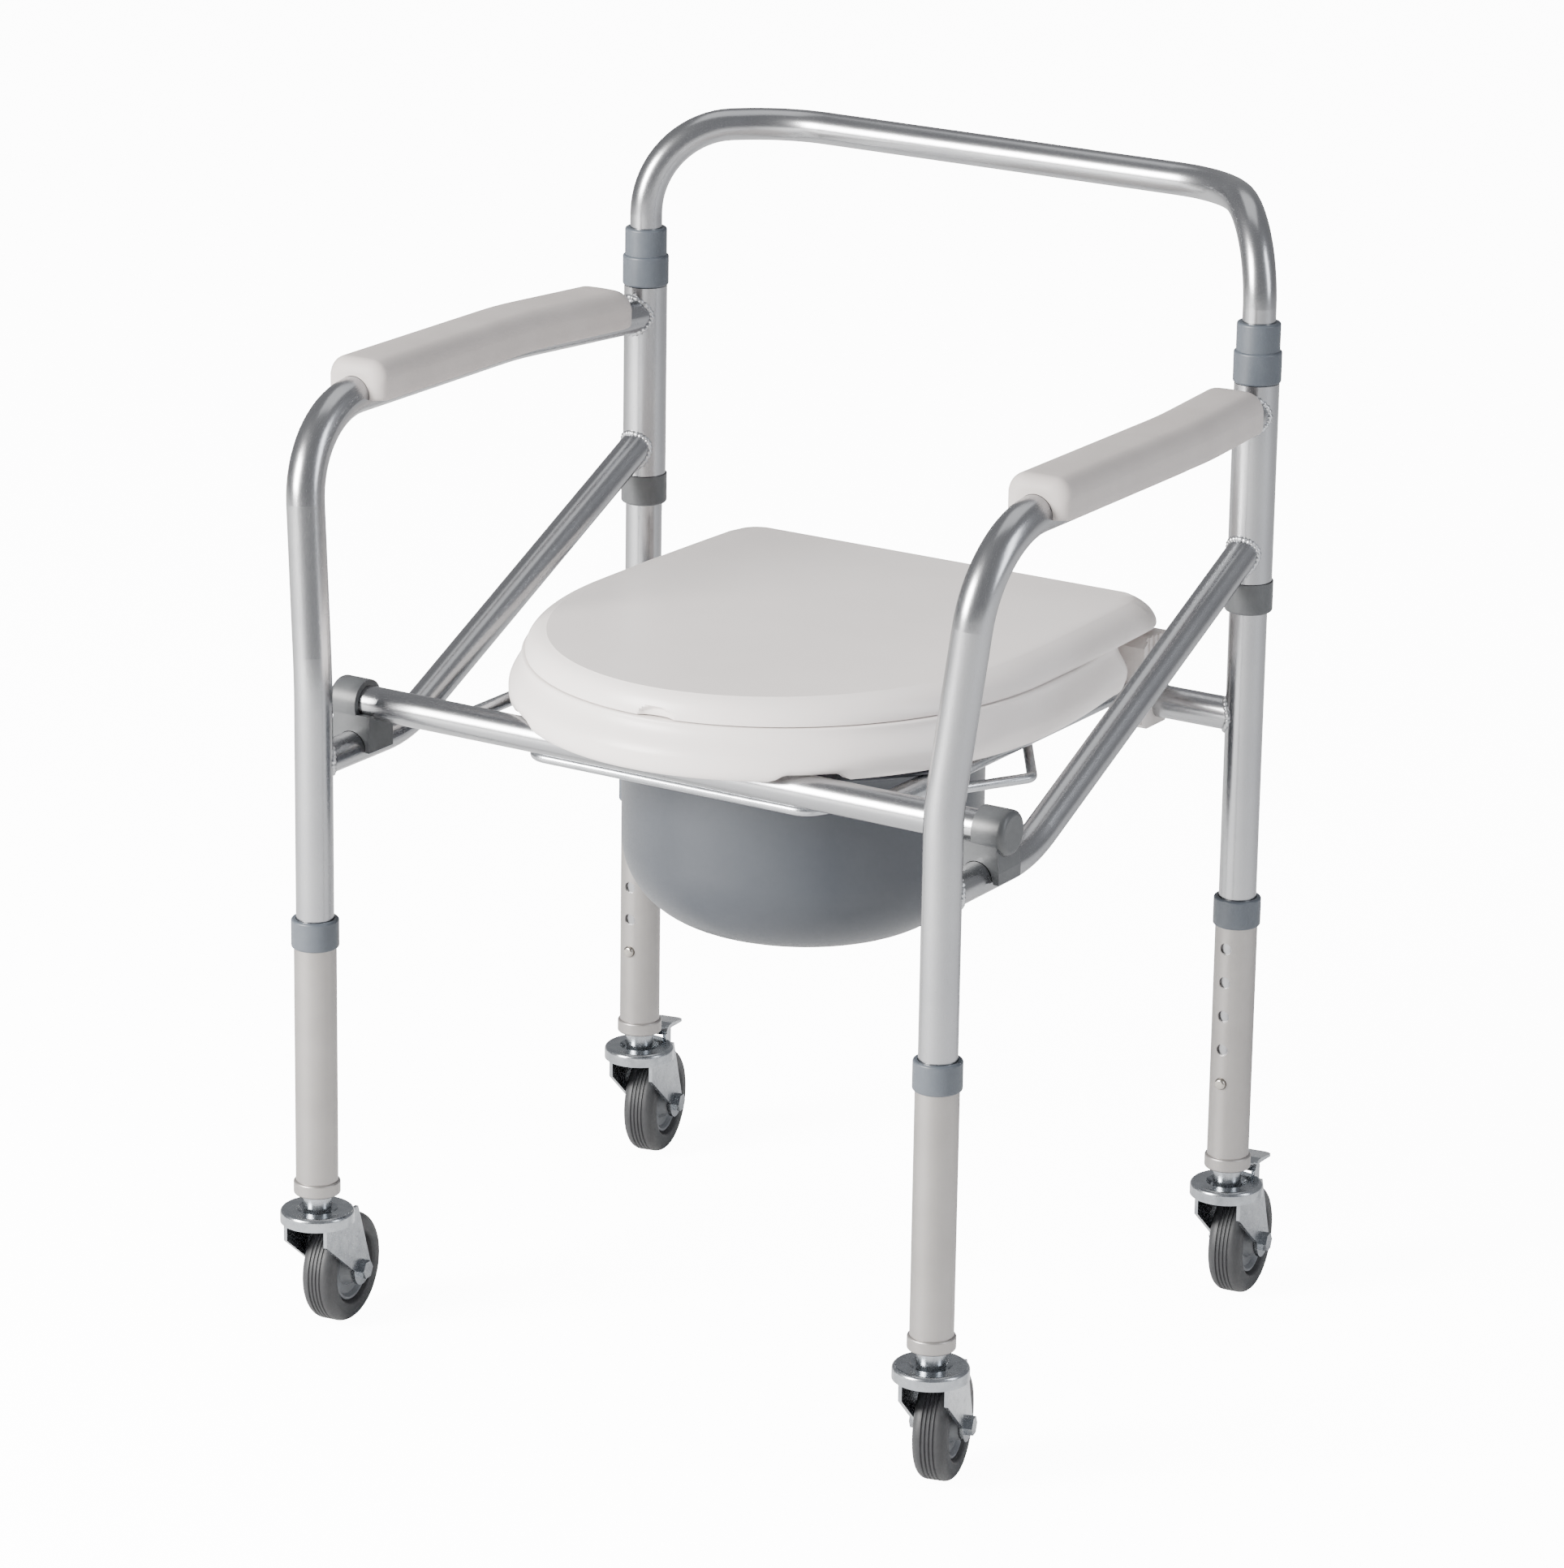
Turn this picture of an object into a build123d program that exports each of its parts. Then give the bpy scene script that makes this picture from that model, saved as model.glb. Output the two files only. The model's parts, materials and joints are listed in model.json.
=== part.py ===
from build123d import *
from math import atan2, cos, radians, sin, sqrt
import os

os.makedirs("parts", exist_ok=True)

# Folding commode chair on casters. Millimetres, +Z up, front towards -Y, +X to the
# sitter's left hand (right hand as seen from the front). Floor at Z = 0.

# ---------------------------------------------------------------- driving dimensions
leg_half_x = 240.0          # leg axes from the centre plane
leg_half_y = 195.0          # front and rear leg axes from mid-depth

main_d = 25.4               # uprights, arm and front leg tube
cross_d = 22.2              # cross tubes and braces
tube_wall = 1.2
back_bar_gap = 0.4          # radial gap of the back bar inside the uprights
back_bar_d = main_d - 2 * (tube_wall + back_bar_gap)
running_gap = 0.05          # radial gap of a shaft or tube that turns or slides in a bore
free_gap = 0.3              # gap between curved faces that only pass each other

leg_tube_bottom_z = 150.0   # lower end of each main leg tube, inside its extension
extension_wall = 1.5
extension_d = main_d + 2 * (running_gap + extension_wall)
extension_bottom_z = 101.0
extension_top_z = 285.0
rolled_rim_proud = 1.5
rolled_rim_d = extension_d + 2 * rolled_rim_proud
rolled_rim_h = 9.5
height_hole_d = 8.4
height_hole_pitch = 24.0
height_hole_count = 5
first_hole_z = 164.5
button_d = 8.0
button_proud = 2.6
button_travel = 3.2

leg_collar_wall = 1.75       # outside the extension
leg_collar_d = extension_d + 2 * leg_collar_wall
leg_collar_h = 20.0
leg_collar_seat = 10.0      # length of the collar that grips the extension

sleeve_bore_gap = 0.1
sleeve_wall = 2.2
sleeve_d = main_d + 2 * (sleeve_bore_gap + sleeve_wall)
sleeve_bottom_z = 515.5
sleeve_top_z = 649.5
end_play = 0.3              # axial gap between the sleeve and its two collars

pivot_collar_wall = 3.3
pivot_collar_d = main_d + 2 * pivot_collar_wall
pivot_collar_h = 21.0
pivot_tab_w = 9.0
pivot_tab_h = 10.0
pivot_tab_t = 3.2
lock_pin_d = 7.0
lock_pin_proud = 3.0
lock_pin_angle = 90.0       # round the post from +X: the pin and the tab face the rear

top_collar_wall = 3.3
top_collar_upper_wall = 1.9
top_collar_d = main_d + 2 * top_collar_wall
top_collar_upper_d = main_d + 2 * top_collar_upper_wall
top_collar_lower_h = 21.5
top_collar_upper_h = 19.0
upright_top_z = 671.0

back_bar_top_z = 760.0
back_bar_bow = 70.0         # how far the back rail stands behind the rear legs
back_bar_bow_x = 172.0      # half-length of the bowed rail
back_bar_leg_z = 596.0      # lower end of the bar inside the uprights
back_bar_corner_r = 60.0
back_bar_bow_r = 80.0

arm_z = 633.0
arm_rear_z = 629.5
arm_splay = 18.0            # how far the arm stands outside the legs
splay_start_z = 458.0
arm_front_setback = 14.0    # the top of the front leg leans this far back
arm_knee_run = 135.0        # from the rear leg to where the arm turns in to its sleeve
arm_knee_y = leg_half_y - arm_knee_run
arm_leg_r = 250.0
arm_corner_r = 65.0
arm_knee_r = 260.0

pad_w = 46.0
pad_above_tube = 24.0
pad_below_axis = 2.5
pad_corner_r = 13.0
pad_front_setback = 71.0    # pad ends from the front and rear leg axes
pad_rear_setback = 37.0
pad_front_y = pad_front_setback - leg_half_y
pad_rear_y = leg_half_y - pad_rear_setback

brace_sleeve_z = 541.0
brace_low_z = 402.0
brace_foot = 100.0          # level foot of the brace behind the front leg axis
brace_bend_y = brace_foot - leg_half_y
brace_bend_r = 100.0

rear_cross_z = 420.5
front_tube_setback = 55.0   # front tube behind the front leg axis
front_tube_y = front_tube_setback - leg_half_y
front_tube_z = 431.0

clip_wall = 3.9
clip_inboard = 4.0          # the clip's barrel from the leg axis inwards
clip_outboard = 18.5        # and outwards
clip_r = cross_d / 2 + clip_wall
clip_inner_x = leg_half_x - clip_inboard
clip_outer_x = leg_half_x + clip_outboard
clip_end_wall = 8.0
saddle_length = 27.0
saddle_wall = 3.2
saddle_lip_drop = 2.0       # how far the lips reach below the axis of the brace
saddle_flare = 0.27         # outward lean of the outer lip, sideways per unit down

rail_d = 10.0
rail_x = 163.0
rack_wire_d = 7.0
rack_side_y = 8.0
rack_corner_r = 14.0
rack_apex_r = 9.0
rack_rod_gap = 9.0          # rod axis outside the bucket's wall
rack_front_inset = 26.0     # front and rear corners from the rod axis inwards
rack_rear_inset = 45.0
rack_rail_reach = 23.0      # side corner outside the rail axis
rack_front_setback = 57.0   # rack ends from the front and rear leg axes
rack_rear_setback = 31.0

block_inner_x = 150.0
block_outer_x = 176.0
block_front = 24.0          # from the cross tube axis forwards
block_rear = 7.5            # from the cross tube axis backwards
block_bottom = 15.5         # below the cross tube axis
block_rib_count = 4
block_groove_w = 3.0
block_groove_depth = 1.6
seat_hinge_rise = 41.5      # hinge pin above the cross tube axis
seat_hinge_back = 0.5       # hinge pin behind the cross tube axis
hinge_pin_d = 6.0
hinge_lug_r = 6.0
pin_inner_x = 100.0
lid_lug_x = 137.0
lid_lug_w = 16.0
ring_lug_x = 115.0
ring_lug_w = 16.0

seat_wide_y = 30.0          # where the seat is widest
ring_half_w = 188.5
ring_front_setback = 3.0    # ring and lid ends from the front and rear leg axes
ring_rear_setback = 32.0
ring_front = leg_half_y - ring_front_setback
ring_rear_y = leg_half_y - ring_rear_setback
ring_rear_half_w = 177.0
ring_top_inset = 7.0
ring_top_front_inset = 14.0
ring_top_z = 471.5
ring_bulge_h = 12.0
ring_overhang = 4.2         # how far the ring's wall hangs below the top of the front tube
ring_slot_gap = 1.0
ring_wall = 3.5
ring_corner_r = 22.0
hole_half_w = 104.0
hole_end_setback = 65.0
hole_half_l = leg_half_y - hole_end_setback
hole_y = 12.0

lid_gap = 0.8
lid_top_z = 490.0
lid_half_w = 178.5
lid_front_setback = 20.0
lid_rear_reach = 12.0
lid_front = leg_half_y - lid_front_setback
lid_rear_y = leg_half_y + lid_rear_reach
lid_rear_half_w = 173.0
lid_shoulder_drop = 8.0
lid_shoulder_inset = 4.0
lid_top_inset = 18.0
lid_top_front_inset = 9.0
lid_wall = 3.5
lid_corner_r = 20.0
lid_rear_inset = 4.0
notch_r = 11.0
notch_x = 12.0              # the finger notch sits a little to the right
notch_depth = 7.0

bucket_tube_gap = 8.4       # flange to the cross tubes, on average
bucket_forward = 0.8        # how far the bucket stands in front of their middle
bucket_flange_w = 27.0
bucket_y = (leg_half_y + front_tube_y) / 2 - bucket_forward
bucket_flange_r = (leg_half_y - front_tube_y - cross_d) / 2 - bucket_tube_gap
bucket_r = bucket_flange_r - bucket_flange_w
bucket_bottom_z = 284.0
bucket_corner_r = 56.0
bucket_wall = 2.6
bucket_flange_t = 3.4
bucket_neck_h = 14.0

wheel_d = 75.0
wheel_w = 23.0
wheel_hub_w = 26.0
wheel_hub_r = 10.0
wheel_web_w = 13.0
wheel_tyre_t = 12.5
wheel_rim_r = wheel_d / 2 - wheel_tyre_t
wheel_shoulder_r = 7.0
axle_d = 8.0
axle_head_d = 13.0
axle_head_t = 4.5
caster_trail = 32.0
fork_gap = 28.0
fork_plate_t = 2.5
fork_head_r = 25.0
fork_head_bottom_z = 81.0
fork_head_top_z = 90.0
fork_boss_r = 11.0
fork_dish_r = 17.0
fork_dish_depth = 3.0
stem_d = 10.0
neck_d = 19.0
neck_bottom_z = 87.6
stem_plug_h = 34.0
pedal_w = 24.0
pedal_t = 2.6
pedal_hinge_s = 20.0        # pedal hinge from the swivel axis, towards the wheel
pedal_tip_s = 60.0
pedal_z = 95.0
pedal_pin_d = 3.0
pedal_ear_t = 2.5

# how far each caster's trail is turned from +Y towards -X, in degrees
caster_yaw = {"front_left": 7.0, "front_right": 15.0, "rear_left": 12.0, "rear_right": 8.0}

# ---------------------------------------------------------------- derived places
# The origin is the middle of the chair's footprint box: the front caster heads reach
# furthest forwards and the bowed back rail furthest backwards.
y0 = -(back_bar_bow + back_bar_d / 2 - fork_head_r) / 2
front_y = y0 - leg_half_y
rear_y = y0 + leg_half_y
main_r = main_d / 2
cross_r = cross_d / 2
wheel_r = wheel_d / 2
front_tube_world_y = y0 + front_tube_y
hinge_y = rear_y + seat_hinge_back
hinge_z = rear_cross_z + seat_hinge_rise
front_tube_top = front_tube_z + cross_r
rack_front_y = rack_front_setback - leg_half_y
rack_rear_y = leg_half_y - rack_rear_setback
rack_rod_x = bucket_r + rack_rod_gap
rack_front_half = rack_rod_x - rack_front_inset
rack_rear_half = rack_rod_x - rack_rear_inset
rack_side_half = rail_x + rack_rail_reach
ring_bottom_z = front_tube_top + free_gap - ring_overhang
rack_z = front_tube_z - cross_r - rack_wire_d / 2
flange_z = rack_z + rack_wire_d / 2 + free_gap

sides = {"left": -1, "right": 1}
legs = {
    "front_left": (-leg_half_x, front_y, 1),
    "front_right": (leg_half_x, front_y, 1),
    "rear_left": (-leg_half_x, rear_y, -1),
    "rear_right": (leg_half_x, rear_y, -1),
}


def save(piece, name):
    piece.part.label = name
    export_step(piece.part, f"parts/{name}.step")


def round_bar(path, start, direction, diameter, wall=0.0, x_dir=(1, 0, 0), mode=Mode.ADD):
    """Sweep a round section along path inside the open part; wall makes it a tube."""
    with BuildSketch(Plane(origin=start, x_dir=x_dir, z_dir=direction)) as section:
        Circle(diameter / 2)
    sweep(sections=section.sketch, path=path, mode=mode)
    if wall:
        with BuildSketch(Plane(origin=start, x_dir=x_dir, z_dir=direction)) as bore:
            Circle(diameter / 2 - wall)
        sweep(sections=bore.sketch, path=path, mode=Mode.SUBTRACT)


def cut_post(x, y, z, diameter, height):
    """Remove an upright cylinder, so that a tube end fits round a post."""
    with Locations((x, y, z)):
        Cylinder(diameter / 2, height, mode=Mode.SUBTRACT)


# ---------------------------------------------------------------- rear frame
def upright(side):
    """Rear leg and back post in one straight tube, with a hole for the snap button."""
    x = side * leg_half_x
    with BuildPart() as post:
        with BuildSketch(Plane.XY.offset(leg_tube_bottom_z)):
            with Locations((x, rear_y)):
                Circle(main_r)
                Circle(main_r - tube_wall, mode=Mode.SUBTRACT)
        extrude(amount=upright_top_z - leg_tube_bottom_z)
        with Locations(Location((x, rear_y - main_r, first_hole_z), (90, 0, 0))):
            Cylinder(height_hole_d / 2, main_r, mode=Mode.SUBTRACT)
    return post


for side_name, side in sides.items():
    save(upright(side), f"upright_{side_name}")

with BuildPart() as rear_cross_tube:
    with BuildSketch(Plane.YZ.offset(-leg_half_x)):
        with Locations((rear_y, rear_cross_z)):
            Circle(cross_r)
            Circle(cross_r - tube_wall, mode=Mode.SUBTRACT)
    extrude(amount=2 * leg_half_x)
    for side in sides.values():
        cut_post(side * leg_half_x, rear_y, rear_cross_z, main_d, 2 * cross_d)
save(rear_cross_tube, "rear_cross_tube")


def pivot_collar(side):
    """Plastic ring that carries the arm's swivel sleeve, with a tab over the lock pin."""
    x = side * leg_half_x
    top = sleeve_bottom_z - end_play
    with BuildPart() as collar:
        with BuildSketch(Plane.XY.offset(top - pivot_collar_h)):
            with Locations((x, rear_y)):
                Circle(pivot_collar_d / 2)
        extrude(amount=pivot_collar_h)
        fillet(collar.edges().filter_by(GeomType.CIRCLE).group_by(Axis.Z)[0], 2.0)
        tab_plane = Plane(origin=(x, rear_y, top - pivot_collar_h - pivot_tab_h))
        with BuildSketch(tab_plane.rotated((0, 0, lock_pin_angle))):
            with Locations(((main_r + pivot_collar_d / 2) / 2 + 0.6, 0)):
                Rectangle(pivot_tab_t, pivot_tab_w)
        extrude(amount=pivot_tab_h + pivot_collar_h / 2)
        cut_post(x, rear_y, top - pivot_collar_h / 2, main_d, 3 * pivot_collar_h)
    return collar


def lock_pin(side):
    """Rounded snap pin just under the collar's tab."""
    x = side * leg_half_x
    angle = lock_pin_angle
    z = sleeve_bottom_z - end_play - pivot_collar_h - pivot_tab_h - lock_pin_d / 2 - 1.0
    place = Plane(
        origin=(x + main_r * cos(radians(angle)), rear_y + main_r * sin(radians(angle)), z),
        x_dir=(0, 0, 1),
        z_dir=(cos(radians(angle)), sin(radians(angle)), 0),
    )
    with BuildPart() as pin:
        with BuildSketch(place.offset(-1.5)):
            Circle(lock_pin_d / 2)
        extrude(amount=lock_pin_proud + 1.5)
        fillet(pin.faces().sort_by(SortBy.DISTANCE)[-1].edges(), 1.2)
        cut_post(x, rear_y, z, main_d, 2 * lock_pin_d)
    return pin


def top_collar(side):
    """Two-band collar on the post's upper end, bored through for the back bar."""
    x = side * leg_half_x
    bottom = sleeve_top_z + end_play
    with BuildPart() as collar:
        with BuildSketch(Plane.XY.offset(bottom)):
            with Locations((x, rear_y)):
                Circle(top_collar_d / 2)
        extrude(amount=top_collar_lower_h)
        fillet(collar.edges().filter_by(GeomType.CIRCLE), 1.6)
        with BuildSketch(Plane.XY.offset(bottom + top_collar_lower_h)):
            with Locations((x, rear_y)):
                Circle(top_collar_upper_d / 2)
        extrude(amount=top_collar_upper_h)
        fillet(collar.edges().filter_by(GeomType.CIRCLE).group_by(Axis.Z)[-1], 1.6)
        cut_post(x, rear_y, (bottom + upright_top_z) / 2 - 1, main_d, upright_top_z - bottom + 2)
        cut_post(x, rear_y, upright_top_z, back_bar_d + 2 * running_gap, 4 * top_collar_upper_h)
    return collar


for side_name, side in sides.items():
    save(pivot_collar(side), f"pivot_collar_{side_name}")
    save(lock_pin(side), f"lock_pin_{side_name}")
    save(top_collar(side), f"top_collar_{side_name}")

# ---------------------------------------------------------------- back bar
with BuildPart() as back_bar:
    rail_y = rear_y + back_bar_bow
    with BuildLine() as bar_line:
        FilletPolyline(
            (-leg_half_x, rear_y, back_bar_leg_z),
            (-leg_half_x, rear_y, back_bar_top_z),
            (-back_bar_bow_x, rail_y, back_bar_top_z),
            (back_bar_bow_x, rail_y, back_bar_top_z),
            (leg_half_x, rear_y, back_bar_top_z),
            (leg_half_x, rear_y, back_bar_leg_z),
            radius=[back_bar_corner_r, back_bar_bow_r, back_bar_bow_r, back_bar_corner_r],
        )
    round_bar(bar_line.line, (-leg_half_x, rear_y, back_bar_leg_z), (0, 0, 1), back_bar_d, tube_wall)
save(back_bar, "back_bar")


# ---------------------------------------------------------------- swinging side frames
def sleeve(side):
    """Swivel sleeve round the rear post; the arm and the brace are welded to it."""
    with BuildPart() as tube:
        with BuildSketch(Plane.XY.offset(sleeve_bottom_z)):
            with Locations((side * leg_half_x, rear_y)):
                Circle(sleeve_d / 2)
                Circle(main_r + sleeve_bore_gap, mode=Mode.SUBTRACT)
        extrude(amount=sleeve_top_z - sleeve_bottom_z)
    return tube


def side_tube(side):
    """Front leg and arm bent from one tube, splayed outwards above the seat."""
    x = side * leg_half_x
    arm_x = side * (leg_half_x + arm_splay)
    with BuildPart() as tube:
        with BuildLine() as route:
            FilletPolyline(
                (x, front_y, leg_tube_bottom_z),
                (x, front_y, splay_start_z),
                (arm_x, front_y + arm_front_setback, arm_z),
                (arm_x, y0 + arm_knee_y, arm_z),
                (x, rear_y, arm_rear_z),
                radius=[arm_leg_r, arm_corner_r, arm_knee_r],
            )
        round_bar(route.line, (x, front_y, leg_tube_bottom_z), (0, 0, 1), main_d, tube_wall)
        cut_post(x, rear_y, arm_rear_z, sleeve_d, 4 * main_d)
        with Locations(Location((x, front_y + main_r, first_hole_z), (90, 0, 0))):
            Cylinder(height_hole_d / 2, main_r, mode=Mode.SUBTRACT)
    return tube


def brace(side):
    """Sloping strut from the sleeve, levelling out before it meets the front leg."""
    x = side * leg_half_x
    with BuildPart() as strut:
        with BuildLine() as route:
            FilletPolyline(
                (x, front_y, brace_low_z),
                (x, y0 + brace_bend_y, brace_low_z),
                (x, rear_y, brace_sleeve_z),
                radius=brace_bend_r,
            )
        round_bar(route.line, (x, front_y, brace_low_z), (0, 1, 0), cross_d, tube_wall)
        cut_post(x, front_y, brace_low_z, main_d, 4 * cross_d)
        cut_post(x, rear_y, brace_sleeve_z, sleeve_d, 4 * main_d)
    return strut


def arm_pad(side):
    """Moulded pad clipped over the top half of the arm tube."""
    arm_x = side * (leg_half_x + arm_splay)
    x = side * leg_half_x
    knee_y = y0 + arm_knee_y
    share = (y0 + pad_rear_y - knee_y) / (rear_y - knee_y)
    rear = (arm_x + (x - arm_x) * share, y0 + pad_rear_y, arm_z + (arm_rear_z - arm_z) * share)
    front = (arm_x, y0 + pad_front_y, arm_z)
    with BuildPart() as pad:
        with BuildLine() as route:
            FilletPolyline(front, (arm_x, knee_y, arm_z), rear, radius=arm_knee_r)
        with BuildSketch(Plane(origin=front, x_dir=(-1, 0, 0), z_dir=(0, 1, 0))):
            with Locations((0, (pad_above_tube - pad_below_axis) / 2)):
                outline = Rectangle(pad_w, pad_above_tube + pad_below_axis)
            fillet(outline.vertices().group_by(Axis.Z)[-1], pad_corner_r)
            Circle(main_r, mode=Mode.SUBTRACT)
        sweep(path=route.line)
    return pad


for side_name, side in sides.items():
    save(sleeve(side), f"sleeve_{side_name}")
    save(side_tube(side), f"side_tube_{side_name}")
    save(brace(side), f"brace_{side_name}")
    save(arm_pad(side), f"arm_pad_{side_name}")


# ---------------------------------------------------------------- leg extensions
def leg_extension(x, y, hole_side):
    """Outer leg tube with a row of height holes and a rolled rim at its foot."""
    bore_d = main_d + 2 * running_gap
    with BuildPart() as tube:
        with BuildSketch(Plane.XY.offset(extension_bottom_z)):
            with Locations((x, y)):
                Circle(extension_d / 2)
        extrude(amount=extension_top_z - extension_bottom_z)
        with BuildSketch(Plane.XY.offset(extension_bottom_z)):
            with Locations((x, y)):
                Circle(rolled_rim_d / 2)
        extrude(amount=rolled_rim_h)
        rim_edges = tube.edges().filter_by(GeomType.CIRCLE).filter_by(
            lambda edge: abs(edge.radius - rolled_rim_d / 2) < 0.01)
        fillet(rim_edges, 1.4)
        cut_post(x, y, (extension_bottom_z + extension_top_z) / 2, bore_d, 300)
        for step in range(height_hole_count):
            z = first_hole_z + step * height_hole_pitch
            with Locations(Location((x, y + hole_side * extension_d / 2, z), (90, 0, 0))):
                Cylinder(height_hole_d / 2, extension_d / 2, mode=Mode.SUBTRACT)
    return tube


def leg_collar(x, y):
    """Plastic collar that closes the gap at the extension's upper end."""
    bottom = extension_top_z - leg_collar_seat
    with BuildPart() as collar:
        with BuildSketch(Plane.XY.offset(bottom)):
            with Locations((x, y)):
                Circle(leg_collar_d / 2)
        extrude(amount=leg_collar_h)
        fillet(collar.edges().filter_by(GeomType.CIRCLE), 1.5)
        cut_post(x, y, bottom + leg_collar_seat / 2, extension_d, leg_collar_seat)
        cut_post(x, y, bottom + leg_collar_h / 2, main_d + 2 * free_gap, 2 * leg_collar_h)
    return collar


def snap_button(x, y, hole_side):
    """Domed button head in the lowest height hole, with its top outside the tube."""
    inner = main_r + running_gap + 0.05
    outer = extension_d / 2 + button_proud
    base = Plane(origin=(x, y + hole_side * inner, first_hole_z), x_dir=(1, 0, 0),
                 z_dir=(0, hole_side, 0))
    with BuildPart() as button:
        with BuildSketch(base):
            Circle(button_d / 2)
        extrude(amount=outer - inner)
        fillet(button.faces().sort_by(Axis.Y)[-1 if hole_side > 0 else 0].edges(), 1.8)
    return button


def caster_stem(x, y):
    """Stem of the caster: a plug in the tube, a visible neck and the swivel pin."""
    with BuildPart() as stem:
        with BuildSketch(Plane.XY.offset(extension_bottom_z + 1.0)):
            with Locations((x, y)):
                Circle(main_r + running_gap)
        extrude(amount=stem_plug_h)
        chamfer(stem.edges().filter_by(GeomType.CIRCLE).group_by(Axis.Z)[-1], 2.0)
        with BuildSketch(Plane.XY.offset(neck_bottom_z)):
            with Locations((x, y)):
                Circle(neck_d / 2)
        extrude(amount=extension_bottom_z + 2.0 - neck_bottom_z)
        with BuildSketch(Plane.XY.offset(fork_head_bottom_z - 2.0)):
            with Locations((x, y)):
                Circle(stem_d / 2)
        extrude(amount=neck_bottom_z + 1.0 - fork_head_bottom_z + 2.0)
    return stem


# ---------------------------------------------------------------- casters
def caster_plane(x, y, yaw, z=0.0):
    """Plane with x along the trail of the caster and y along its axle."""
    trail = (-sin(radians(yaw)), cos(radians(yaw)), 0)
    return Plane(origin=(x, y, z), x_dir=trail, z_dir=(0, 0, 1))


def side_profile(x, y, yaw, across):
    """Upright plane along the trail, at a distance across from the swivel axis."""
    trail = (-sin(radians(yaw)), cos(radians(yaw)), 0)
    axle = (-cos(radians(yaw)), -sin(radians(yaw)), 0)
    origin = (x + axle[0] * across, y + axle[1] * across, 0)
    return Plane(origin=origin, x_dir=trail, z_dir=(-axle[0], -axle[1], 0))


def fork(x, y, yaw, braked):
    """Pressed fork: dished swivel head, two cheeks down to the axle, ears for a pedal."""
    flat = caster_plane(x, y, yaw)
    with BuildPart() as body:
        with BuildSketch(flat.offset(fork_head_bottom_z)):
            Circle(fork_head_r)
        extrude(amount=fork_head_top_z - fork_head_bottom_z)
        fillet(body.edges().filter_by(GeomType.CIRCLE).group_by(Axis.Z)[-1], 3.0)
        for hand in (-1, 1):
            inner = fork_gap / 2
            reach = sqrt(fork_head_r ** 2 - (inner + fork_plate_t) ** 2)
            with BuildSketch(side_profile(x, y, yaw, hand * (inner + fork_plate_t / 2))):
                with BuildLine():
                    Polyline(
                        (-reach + 2, fork_head_bottom_z + 4),
                        (reach + 8, fork_head_bottom_z + 4),
                        (caster_trail + fork_boss_r, wheel_r + 2),
                        (caster_trail, wheel_r - fork_boss_r),
                        (caster_trail - fork_boss_r, wheel_r + 2),
                        (-reach + 2, fork_head_bottom_z - 12),
                        close=True,
                    )
                make_face()
                with Locations((caster_trail, wheel_r)):
                    Circle(fork_boss_r)
            extrude(amount=fork_plate_t / 2, both=True)
            if braked:
                with BuildSketch(side_profile(x, y, yaw, hand * (pedal_w / 2 + 0.5 + pedal_ear_t / 2))):
                    with Locations((pedal_hinge_s, pedal_z)):
                        Circle(4.2)
                    with Locations((pedal_hinge_s - 1.0, (fork_head_top_z - 4 + pedal_z) / 2)):
                        Rectangle(10.0, pedal_z - fork_head_top_z + 4)
                extrude(amount=pedal_ear_t / 2, both=True)
        with BuildSketch(flat.offset(fork_head_top_z - fork_dish_depth)):
            Circle(neck_d / 2 + 1.5)
        extrude(amount=fork_dish_depth + 1, taper=-45, mode=Mode.SUBTRACT)
        cut_post(x, y, fork_head_bottom_z, stem_d + 2 * running_gap, 60)
        with BuildSketch(side_profile(x, y, yaw, 0)):
            with Locations((caster_trail, wheel_r)):
                Circle(axle_d / 2)
        extrude(amount=fork_gap, both=True, mode=Mode.SUBTRACT)
        if braked:
            with BuildSketch(side_profile(x, y, yaw, 0)):
                with Locations((pedal_hinge_s, pedal_z)):
                    Circle(pedal_pin_d / 2 + running_gap)
            extrude(amount=pedal_w, both=True, mode=Mode.SUBTRACT)
    return body


def axle(x, y, yaw):
    """Axle bolt with a hexagon head and nut outside the fork cheeks."""
    half = fork_gap / 2 + fork_plate_t
    with BuildPart() as bolt:
        with BuildSketch(side_profile(x, y, yaw, 0)):
            with Locations((caster_trail, wheel_r)):
                Circle(axle_d / 2)
        extrude(amount=half, both=True)
        for hand in (-1, 1):
            with BuildSketch(side_profile(x, y, yaw, hand * (half + axle_head_t / 2))):
                with Locations((caster_trail, wheel_r)):
                    RegularPolygon(axle_head_d / 2, 6)
            extrude(amount=axle_head_t / 2, both=True)
    return bolt


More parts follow.
